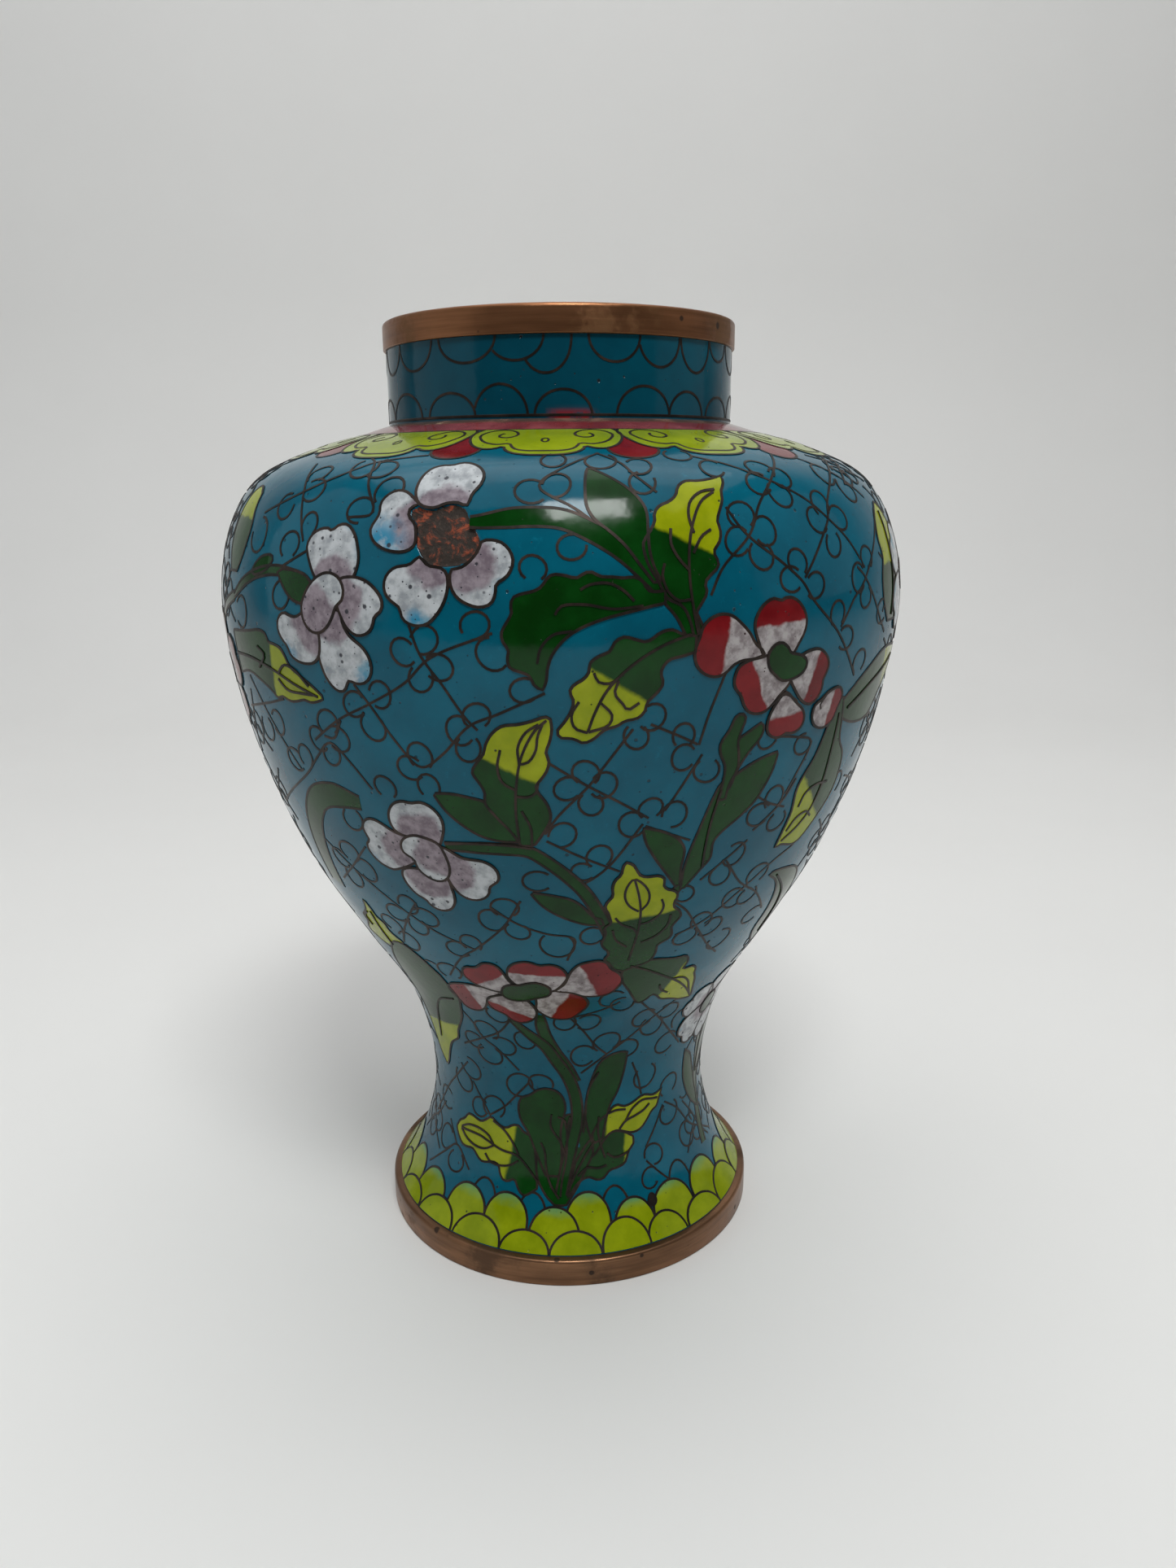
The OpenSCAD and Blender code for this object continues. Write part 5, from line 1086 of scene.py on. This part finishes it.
def ground_piece(material, top_run):
    bearings = uneven(-90, 90, 2.5, -23, -9.5, 0.33)
    bearings = np.concatenate([bearings[:-1], bearings[:-1] + 180])
    runs = uneven(0, top_run, 2.5, 161.5, 175, 0.33)
    chart = np.stack(np.meshgrid(bearings, runs, indexing="ij"), -1)
    high = np.zeros(chart.shape[:2])
    bare = np.zeros(chart.shape[:2])
    for half in HALVES:
        inside = depth_inside(chart - [half, 0], DAMAGE)
        share = np.clip(inside / DAMAGE_SLOPE, 0, 1)
        share = share * share * (3 - 2 * share)
        high -= share * (DAMAGE_DEPTH + rng.normal(0, 0.06, share.shape))
        bare = np.maximum(bare, np.clip(inside / DAMAGE_RIM, 0, 1))
    sheet = Sheet()
    sheet.slab(chart, -SKIN_T, high, bare, loop=True)
    return sheet.make("ground_skin", material, sharp=60)


def skin_ring(name, material, from_run, to_run, step, blend=None):
    bearings = np.arange(0, 360, 1.5)
    runs = np.linspace(from_run, to_run, max(3, int((to_run - from_run) / step)))
    chart = np.stack(np.meshgrid(bearings, runs, indexing="ij"), -1)
    sheet = Sheet()
    sheet.slab(chart, -SKIN_T, 0.0, no_blend(chart) if blend is None else blend(chart), loop=True)
    return sheet.make(name, material)


COLLAR_RUN = RUNS[14 * STATION_STEPS]


# ---------------------------------------------------------------- cells and wires of the pattern
turquoise = turquoise_enamel()
wire = wire_copper()
cover = Cover()

SIDE_FLOWERS = [
    [74, 157, 5, 13.5, 11, 0, 20], [-73, 139, 5, 12.5, 10.5, 1, 0], [90, 84, 5, 13, 10.5, 0, 40],
    [58, 53, 5, 11, 9.5, 0, 10],
]


def mirrored(points):
    return [[-x, y] for x, y in points]


def disc(spot, half_wide, half_high, step):
    """Outline in chart places of an ellipse round a spot, with its half sizes in mm."""
    angle = np.arange(0, 6.28, step)
    return step_from(spot, 0, half_wide * np.cos(angle), half_high * np.sin(angle))


def side_petals(kind):
    """Petals of the plainer flowers at the sides, as [layer, root, outline]."""
    petals = []
    for bearing, run, count, length, width, sort, turn in SIDE_FLOWERS:
        if sort != kind:
            continue
        for i in range(count):
            left_side = [[-0.18, 0.12], [-0.42, 0.42], [-0.5, 0.72], [-0.34, 0.95], [-0.12, 0.99]]
            shape = left_side + [[0, 0.92]] + mirrored(left_side)[::-1]
            x, y = (np.array(shape) * [width, length]).T
            outline = step_from([bearing, run], turn + i * 360 / count, x, y)
            petals.append([1 + i % 2, [bearing, run], outline])
    return petals


GREEN_ONLY = -9.0
RED_START = 8
# Cyan stains on the white petals: [bearing, run, radius in mm]
STAINS = [
    [-25.6, 166.6, 3.4], [-42.8, 146.2, 1.7], [-28.3, 142.6, 1.6], [-7.6, 159.2, 1.3], [-36, 104.6, 1.4],
    [-19.6, 154, 1.4],
]


def green_only(chart):
    return np.full(np.shape(chart)[:-1], GREEN_ONLY)


def stained(chart):
    bearing = (chart[:, 0] + 90) % 180 - 90
    tone = np.zeros(len(chart))
    for x, y, radius in STAINS:
        away = np.hypot((bearing - x) * mm_per_degree(y), chart[:, 1] - y)
        tone = np.maximum(tone, np.clip(1.4 - 0.8 * away / radius, 0, 1))
    return tone


HEART_R = 3
white = Sheet()
red = Sheet()
hearts = Sheet()
petal_lines = Sheet()
for half in HALVES:
    for layer, root, points in WHITE_PETALS + side_petals(0):
        outline = closed_outline(moved(points, half))
        from_root = near_blend([root[0] + half, root[1]])
        add_blob(white, outline, outline.mean(0), layer + 1, from_root, rings=6, tone=stained)
        add_wire(petal_lines, outline, layer + 1, closed=True)
        cover.fill(outline)
    for layer, root, points in side_petals(1):
        outline = closed_outline(moved(points, half))
        from_root = near_blend([root[0] + half, root[1]])
        add_blob(red, outline, outline.mean(0), layer + 1, lambda chart: from_root(chart) - RED_START)
        add_wire(petal_lines, outline, layer + 1, closed=True)
        cover.fill(outline)
    for layer, points, (a, b) in RED_PETALS:
        outline = closed_outline(moved(points, half))
        add_blob(red, outline, outline.mean(0), layer + 1, line_blend(*moved([a, b], half)))
        add_wire(petal_lines, outline, layer + 1, closed=True)
        cover.fill(outline)
    for points in HEARTS:
        outline = closed_outline(moved(points, half))
        add_blob(hearts, outline, outline.mean(0), 5, green_only)
        add_wire(petal_lines, outline, 5, closed=True)
    for bearing, run, *_ in SIDE_FLOWERS:
        outline = disc([bearing + half, run], HEART_R, HEART_R, 0.3)
        add_blob(hearts, outline, outline.mean(0), 5, green_only)
        add_wire(petal_lines, outline, 5, closed=True)

leaves = Sheet()
leaf_lines = Sheet()
stems = Sheet()
for half in HALVES:
    for layer, left, right, edge in LEAVES:
        left, right = moved(left, half), moved(right, half)
        if edge is None:
            blend = green_only
        else:
            blend = line_blend(*moved(edge, half))
        left, right = spline(left, 4), spline(right, 4)
        add_ladder(leaves, left, right, layer, blend)
        outline = np.vstack([left, right[::-1]])
        add_wire(leaf_lines, outline, layer, closed=True)
        cover.fill(outline)
    for layer, width, points in STEMS:
        middle = resample(spline(moved(points, half), 8), 1.0)
        k = mm_per_degree(middle[:, 1])
        ahead = np.gradient(middle, axis=0) * np.column_stack([k, np.ones(len(middle))])
        ahead /= np.linalg.norm(ahead, axis=1)[:, None]
        taper = np.minimum(1, 0.55 + np.linspace(0, 3, len(middle)))[:, None]
        off = np.column_stack([-ahead[:, 1] / k, ahead[:, 0]]) * taper * width / 2
        left, right = middle + off, middle - off
        add_ladder(stems, left, right, layer, green_only, across=3)
        for side in (left, right):
            add_wire(leaf_lines, side, layer)
        cover.fill(np.vstack([left, right[::-1]]))
    for line in VEINS:
        add_wire(leaf_lines, spline(moved(line, half), 6), 4, VEIN_W)

# ---------------------------------------------------------------- shoulder lappets and tongues
LAPPET_COUNT, LAPPET_FROM = 11, -3
LAPPET_HALF = [
    [0, 186.2], [3.2, 186.4], [5.5, 187.2], [7, 188.7], [7.6, 190.3], [9.2, 189.3], [11.3, 189.2],
    [13.4, 190.6], [15, 193], [16, 196], [16.2, 199], [15.4, 201.2],
]
LAPPET_INNER = [
    [0, 188], [3.2, 188.1], [5.1, 188.9], [6.1, 190.4], [6.7, 191.7], [9, 191.3], [11.5, 192.3],
    [13.4, 194.6], [14.1, 197.2], [13, 199.6], [10.5, 200.7], [7.7, 200], [6.2, 198], [6.3, 196],
    [7.8, 194.9], [9.5, 195.3], [9.9, 196.8], [9.2, 198],
]
TONGUE = [
    [0, 196], [-2, 193.3], [-4, 190.6], [-4.7, 188.3], [-3.8, 186], [-1.5, 184.6], [1.5, 184.7],
    [3.8, 186.2], [4.7, 188.5], [4, 190.8], [2, 193.4],
]
lappets = Sheet()
tongues = Sheet()
shoulder_lines = Sheet()


for i in range(LAPPET_COUNT):
    centre = LAPPET_FROM + i * 360 / LAPPET_COUNT
    lean, drop = rng.normal(0, 0.35), rng.normal(0, 0.3)
    edge = spline(mirrored(LAPPET_HALF)[::-1] + LAPPET_HALF[1:], 5)
    edge = edge * [1 + rng.normal(0, 0.015), 1] + [centre + lean, drop * 0.5]
    edge[:, 1] = np.minimum(edge[:, 1], COLLAR_RUN)
    middle = np.array([centre + lean, 195.5])
    outline = resample(edge, 0.8, closed=True)
    extent = np.linalg.norm(outline - middle, axis=1)
    angles = np.arctan2(*(outline - middle).T)
    order = np.argsort(angles)

    def share(chart):
        """0 at the lappet's middle, 1 at its edge."""
        toward = np.arctan2(chart[..., 0] - middle[0], chart[..., 1] - middle[1])
        span = np.interp(toward, angles[order], extent[order], period=2 * math.pi)
        return np.linalg.norm(chart - middle, axis=-1) / span

    add_blob(lappets, outline, middle, 1, share, rings=6)
    add_wire(shoulder_lines, edge, 1)
    cover.fill(outline)
    for side in (1, -1):
        curl = np.array(LAPPET_INNER) * [side, 1] + [centre + lean, drop * 0.5]
        add_wire(shoulder_lines, spline(curl, 5), 1)
    ring = disc([centre + lean, 193.5], 0.62, 1.05, 0.4)
    add_wire(shoulder_lines, ring, 1, 0.4, closed=True, step=0.5)
    between = centre + 180 / LAPPET_COUNT
    tongue = np.array(TONGUE) + [between + rng.normal(0, 0.3), rng.normal(0.8, 0.9)]
    tongue = closed_outline(tongue)
    add_blob(tongues, tongue, tongue.mean(0), 0, no_blend)
    add_wire(shoulder_lines, tongue, 0, closed=True)
    cover.fill(tongue)

# ---------------------------------------------------------------- scales above the foot and arcs on the neck
# [bearing, half width in degrees, top run]; the front ones, then those between the halves
LOWER_SCALES = [
    [-66, 8, 4], [-49, 8.3, 5.5], [-31, 8.6, 6], [-14.5, 7.8, 5], [1.5, 8, 5.2], [17.5, 7.7, 7],
    [32, 7.2, 5.7], [48.5, 8.4, 5], [66, 9, 6.4], [82.5, 8, 5.4], [98, 7.8, 5],
]
UPPER_SCALES = [
    [-57, 8.2, 10], [-38.5, 8.2, 11.5], [-22.5, 7.9, 12.2], [-5.5, 8.2, 10.3], [6, 7.6, 13.4],
    [22, 7.2, 10.7], [38, 8.6, 11.4], [56, 8.6, 12], [74, 8.3, 10.5], [91, 8.2, 11.6], [107, 7.8, 10.6],
]
BACK_SCALES = [[-32.5, 5.4, 14], [-13.5, 5, 13.1], [16, 5.2, 14], [44, 5.5, 14.6]]


CHIP = [[27.8, 8.2], [28.6, 9.8], [30, 10.4], [31.4, 9.6], [31.6, 8.2], [30.4, 7.4], [29, 7.3]]


ARCH_CAP = 6


def arch(centre, half, foot, top, steps=14):
    """A round-topped arch; only the last ARCH_CAP mm of a tall one bends."""
    cap = math.copysign(min(abs(top - foot), ARCH_CAP), top - foot)
    angle = np.linspace(0, math.pi, steps + 1)
    bow = np.column_stack([centre - half * np.cos(angle), top - cap + cap * np.sin(angle)])
    if abs(top - foot) <= ARCH_CAP:
        return bow
    return np.vstack([[centre - half, foot], bow, [centre + half, foot]])


scales = Sheet()
scale_lines = Sheet()
for half in HALVES:
    for rows, lowest, foot in ((BACK_SCALES, 0, 8), (UPPER_SCALES, 1, 0.2), (LOWER_SCALES, 3, 0.2)):
        for i, (bearing, width, top) in enumerate(rows):
            layer = lowest + i % 2 if lowest else 0
            edge = arch(bearing + half, width, foot, top)
            if layer:
                fade = 1 if lowest == 1 else 0.72
                middle = np.array([bearing + half, foot + 0.3 * (top - foot)])
                blend = lambda chart: (chart[..., 1] - foot) / (top - foot) * fade
                add_blob(scales, resample(edge, 0.8, closed=True), middle, layer, blend, rings=5)
            add_wire(scale_lines, edge, layer)
            cover.fill(edge)
add_blob(scale_lines, closed_outline(CHIP, 0.5), np.mean(CHIP, 0), 5, no_blend)

# [bearing, half width in degrees, lowest or highest run]
HANGING_ARCS = [
    [-68, 8, 218.5], [-51, 9, 218.5], [-29, 10, 219.2], [-13, 8.5, 219.3], [-4, 7.5, 217], [16.5, 8, 219],
    [31.5, 7.5, 218.3], [46.5, 7, 217.7], [60, 6, 220.3], [75, 8, 218.6], [92, 8, 219],
]
RISING_ARCS = [
    [-75, 8, 214], [-57, 9.5, 214.5], [-35, 9, 214], [-18, 8.5, 215.3], [1, 8.5, 214.2], [26, 9, 214.9],
    [42.5, 7.5, 214.2], [60, 8, 213.6], [78, 8.5, 214.4], [95, 8, 213.9],
]
neck_lines = Sheet()
for arcs, foot in ((HANGING_ARCS, MOUTH_RUN - 0.1), (RISING_ARCS, NECK_RUN + 0.6)):
    behind = Cover()
    for half in HALVES:
        for bearing, width, end in arcs:
            arc = arch(bearing + half, width, foot, end)
            for part in behind.free_parts(resample(arc, 0.4)):
                add_wire(neck_lines, part, 0, VEIN_W)
            behind.fill(arc)
for run in (COLLAR_RUN, NECK_RUN + 0.6):
    ring = np.column_stack([np.arange(0, 360, 2.0), np.full(180, run)])
    grid = ring[:, None] + np.array([[0, -0.25], [0, -0.18], [0, 0.18], [0, 0.25]])[None]
    neck_lines.slab(grid, CELL_BASE, np.array([[0.02, 0.1, 0.1, 0.02]]), 0.0, 0.0, loop=True)

# ---------------------------------------------------------------- wire ground
lattice = Sheet()
KNOT_BEARINGS = (62, 118)
KNOT_PITCH = 13.5
CURL_SWEEP = 285


def curl_line(bearing, run, radius, gap, sweep=CURL_SWEEP):
    angle = np.radians(gap + (360 - sweep) / 2 + np.linspace(0, sweep, 22))
    wobble = 1 + 0.07 * np.sin(2 * angle + bearing)
    x, y = radius * wobble * np.cos(angle), radius * wobble * np.sin(angle)
    return step_from([bearing, run], 0, x, y)


def add_ground_wire(line):
    for part in cover.free_parts(resample(line, 0.5)):
        add_wire(lattice, part, 0, VEIN_W)


for half in HALVES:
    for line in STROKES:
        add_ground_wire(spline(moved(line, half), 6))
    for bearing, run, radius, gap in CURLS:
        add_ground_wire(curl_line(bearing + half, run, radius, gap))
    # Knots of the same kind fill the gap between the two halves
    for row, run in enumerate(np.arange(20, 186, KNOT_PITCH)):
        pitch = KNOT_PITCH / mm_per_degree(run)
        for bearing in np.arange(KNOT_BEARINGS[0] + (row % 2) * pitch / 2, KNOT_BEARINGS[1], pitch):
            spot = np.array([bearing + half + rng.normal(0, 1), run + rng.normal(0, 1)])
            for turn in (45 + rng.normal(0, 7), 135 + rng.normal(0, 7)):
                along = np.linspace(-8.5, 8.5, 7)
                add_ground_wire(spline(step_from(spot, turn, 0.3 * np.sin(along * 0.5), along), 4))
            for gap in (UP, DOWN, LEFT, RIGHT):
                away = math.radians(gap)
                centre = step_from(spot, 0, -2.6 * math.cos(away), -2.6 * math.sin(away))
                if rng.random() > 0.15:
                    add_ground_wire(curl_line(*centre, 2.5, gap))

# ---------------------------------------------------------------- copper bands and lining
def rounded(corners, radii, steps=5):
    """Closed outline through corners, each rounded by its radius."""
    out = []
    count = len(corners)
    for i, (corner, radius) in enumerate(zip(corners, radii)):
        c = np.array(corner, float)
        if not radius:
            out.append(c)
            continue
        a, b = (np.array(corners[(i + s) % count], float) - c for s in (-1, 1))
        start = c + a / np.linalg.norm(a) * radius
        end = c + b / np.linalg.norm(b) * radius
        for t in np.linspace(0, 1, steps + 1):
            out.append((1 - t) ** 2 * start + 2 * t * (1 - t) * c + t * t * end)
    return np.array(out)


BAND_WALL = 1.2
BASE_R = FOOT_R - FOOT_STEP - 4
foot_outline = rounded(
    [[FOOT_R - BAND_WALL, 0], [FOOT_R, 0], [FOOT_R, FOOT_BAND_H], [BASE_R, FOOT_BAND_H],
     [BASE_R, FOOT_BAND_H - 1], [FOOT_R - BAND_WALL, FOOT_BAND_H - 1]],
    [0.2, 0.4, 0.9, 0, 0, 0])
COPPER_NECK_R = NECK_R - SKIN_T
mouth_outline = rounded(
    [[COPPER_NECK_R, MOUTH_Z], [MOUTH_R, MOUTH_Z], [MOUTH_R, HEIGHT], [INNER_R, HEIGHT], [INNER_R, HEIGHT - 1],
     [COPPER_NECK_R, HEIGHT - 1]],
    [0, 0.25, 0.9, 0.7, 0, 0])


def inward(depth, floor):
    """The body's outline moved in by depth mm, above a floor and outside the neck's bore."""
    line = BODY_PATH[::6] - depth * NORMALS[:len(BODY_PATH):6]
    line = line[line[:, 1] > floor]
    return line[line[:, 0] > INNER_R * (line[:, 1] > NECK_Z / 2)]


lining_floor = FOOT_BAND_H + LINING_T
body_inner = inward(SKIN_T + COPPER_T + LINING_T, lining_floor)
body_outer = inward(SKIN_T + COPPER_T, FOOT_BAND_H)
root_z = NECK_Z - SKIN_T - COPPER_T
lining_neck = [
    [INNER_R + LINING_T, root_z], [INNER_R + LINING_T, HEIGHT - 1], [INNER_R, HEIGHT - 1],
    [INNER_R, root_z - LINING_T],
]
lining_outline = np.vstack([
    [[0.5, FOOT_BAND_H]], body_outer, lining_neck, body_inner[::-1], [[0.5, lining_floor]],
])

# ---------------------------------------------------------------- pieces
finish_piece(ground_piece(turquoise, COLLAR_RUN), "turquoise_enamel", "ground_enamel")


def above_collar(chart):
    return chart[..., 1] - COLLAR_RUN


def smear_mark(chart):
    bearing = (chart[..., 0] + 180) % 360 - 180
    across = np.clip(1 - np.abs(bearing - 3.5) / 8, 0, 1)
    return np.clip(across * 2, 0, 1) * np.clip((NECK_RUN + 2 - chart[..., 1]) / 1.2, 0, 1)


collar = skin_ring("collar_skin", collar_red(), COLLAR_RUN, NECK_RUN, 0.8, above_collar)
finish_piece(collar, "collar_enamel", "collar_enamel")
neck = skin_ring("neck_skin", neck_blue(), NECK_RUN, MOUTH_RUN, 0.6, smear_mark)
finish_piece(neck, "neck_enamel", "neck_enamel")
lining = turned_piece("lining_skin", lining_outline, lining_blue(), 192)
finish_piece(lining, "lining_enamel", "lining_enamel")
foot_copper = band_copper(
    "foot_copper", dark=(0.135, 0.07, 0.038), pale=(0.31, 0.16, 0.085), tarnish=(0.09, 0.055, 0.036),
    lines=(25, 25, 800))
mouth_copper = band_copper(
    "mouth_copper", dark=(0.15, 0.064, 0.028), pale=(0.33, 0.145, 0.068), tarnish=(0.20, 0.105, 0.05),
    lines=(20, 20, 900))
finish_piece(turned_piece("foot_ring", foot_outline, foot_copper), "copper", "foot_band")
finish_piece(turned_piece("mouth_ring", mouth_outline, mouth_copper), "copper", "mouth_band")
finish_piece(white.make("white_petal_cells", white_petal()), "white_enamel", "white_petals")
finish_piece(red.make("red_petal_cells", red_petal()), "red_enamel", "red_petals")
green = leaf_green()
finish_piece(hearts.make("heart_cells", green), "green_enamel", "flower_hearts")
finish_piece(leaves.make("leaf_cell_sheet", green), "green_enamel", "leaf_cells", "leaf_tip_cells")
finish_piece(stems.make("stem_cell_sheet", green), "green_enamel", "stem_cells")
finish_piece(lappets.make("lappet_cell_sheet", lime("lappet_lime", 0.1)), "lime_enamel", "lappet_cells")
finish_piece(tongues.make("tongue_cell_sheet", tongue_red()), "red_enamel", "tongue_cells")
finish_piece(scales.make("scale_cell_sheet", lime("scale_lime", 0.75)), "lime_enamel", "scale_cells")
finish_piece(petal_lines.make("petal_lines", wire), "wire", "petal_wires")
finish_piece(leaf_lines.make("leaf_lines", wire), "wire", "leaf_wires")
shoulder_wires = shoulder_lines.make("shoulder_lines", wire)
finish_piece(shoulder_wires, "wire", "lappet_wires", "scroll_wires", "tongue_wires")
finish_piece(scale_lines.make("scale_lines", wire), "wire", "scale_wires")
neck_wires = neck_lines.make("neck_lines", wire)
finish_piece(neck_wires, "wire", "hanging_arc_wires", "rising_arc_wires", "collar_wires")
finish_piece(lattice.make("ground_lines", wire), "wire", "lattice_wires")

# The CAD nodes that stay: the copper inside and the enamel under the base
inner_copper = band_copper(
    "inner_copper", dark=(0.20, 0.11, 0.08), pale=(0.36, 0.21, 0.15), tarnish=(0.12, 0.08, 0.06),
    lines=(20, 20, 500))
underside = lining_blue()
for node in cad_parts:
    name = node if isinstance(node, str) else node["name"]
    if name.startswith(("copper", "base_disc")):
        bpy.data.objects[name].material_slots[0].material = inner_copper
    elif name == "base_enamel":
        bpy.data.objects[name].material_slots[0].material = underside

# ---------------------------------------------------------------- floor, light and camera
SWEEP_FRONT, SWEEP_BACK, SWEEP_WIDE, SWEEP_HIGH = -0.7, 0.9, 2.6, 1.9


def sweep():
    """Pale floor that curves up into a wall."""
    bend = 0.35
    angle = np.linspace(0, math.pi / 2, 16)
    line = [[SWEEP_FRONT, 0.0], [0.0, 0.0], [0.5, 0.0]]
    line += [[SWEEP_BACK - bend + bend * math.sin(a), bend - bend * math.cos(a)] for a in angle]
    line += [[SWEEP_BACK, SWEEP_HIGH]]
    verts = [(x, y, z) for y, z in line for x in (-SWEEP_WIDE, SWEEP_WIDE)]
    faces = [(2 * i, 2 * i + 1, 2 * i + 3, 2 * i + 2) for i in range(len(line) - 1)]
    mesh = bpy.data.meshes.new("sweep")
    mesh.from_pydata(verts, [], faces)
    mesh.shade_smooth()
    mesh.materials.append(floor_paint())
    thing = bpy.data.objects.new("sweep", mesh)
    bpy.context.scene.collection.objects.link(thing)


def area_light(name, place, target, size, watts, colour=(1, 1, 1)):
    light = bpy.data.lights.new(name, "AREA")
    light.shape = "RECTANGLE"
    light.size, light.size_y = size
    light.energy = watts
    light.color = colour
    thing = bpy.data.objects.new(name, light)
    thing.location = place
    thing.rotation_euler = (Vector(target) - Vector(place)).to_track_quat("-Z", "Y").to_euler()
    bpy.context.scene.collection.objects.link(thing)


sweep()
world = bpy.data.worlds.new("room")
bpy.context.scene.world = world
world.use_nodes = True
background = world.node_tree.nodes["Background"]
background.inputs["Color"].default_value = (0.86, 0.9, 0.95, 1)
background.inputs["Strength"].default_value = 0.09
area_light("window", (0.11, -0.56, 0.976), (0.01, -0.07, 0.165), (0.36, 0.25), 5.8, (0.98, 1, 0.99))
area_light("ceiling", (0, 0.05, 1.3), (0, 0.05, 0), (1.6, 1.5), 6.0, (1, 1, 1))
area_light("left_fill", (-1.3, -0.2, 0.7), (0, 0, 0.1), (1.5, 1.5), 2.8, (0.96, 0.99, 1))
area_light("right_fill", (1.3, -0.1, 0.7), (0, 0, 0.1), (1.2, 1.2), 1.0, (1, 0.98, 0.95))
area_light("back_wash", (0, 0.35, 1.5), (0, 0.7, 0.2), (1.6, 0.8), 3.5)

CAMERA_PLACE = (0, -0.2665, 0.17205)
YAW, PITCH, ROLL = 1.159, 14.623, -0.449
LENS = 27.03


def look():
    yaw, pitch, roll = (math.radians(v) for v in (YAW, PITCH, ROLL))
    ahead = Vector((math.sin(yaw) * math.cos(pitch), math.cos(yaw) * math.cos(pitch), -math.sin(pitch)))
    level = Vector((math.cos(yaw), -math.sin(yaw), 0))
    upright = level.cross(ahead)
    right = math.cos(roll) * level + math.sin(roll) * upright
    up = -math.sin(roll) * level + math.cos(roll) * upright
    return Matrix((right, up, -ahead)).transposed()


camera = bpy.data.cameras.new("camera")
camera.lens = LENS
camera.sensor_width = 36
camera.dof.use_dof = False
eye = bpy.data.objects.new("camera", camera)
eye.matrix_world = Matrix.Translation(CAMERA_PLACE) @ look().to_4x4()
bpy.context.scene.collection.objects.link(eye)
bpy.context.scene.camera = eye
bpy.context.scene.view_settings.view_transform = "Standard"
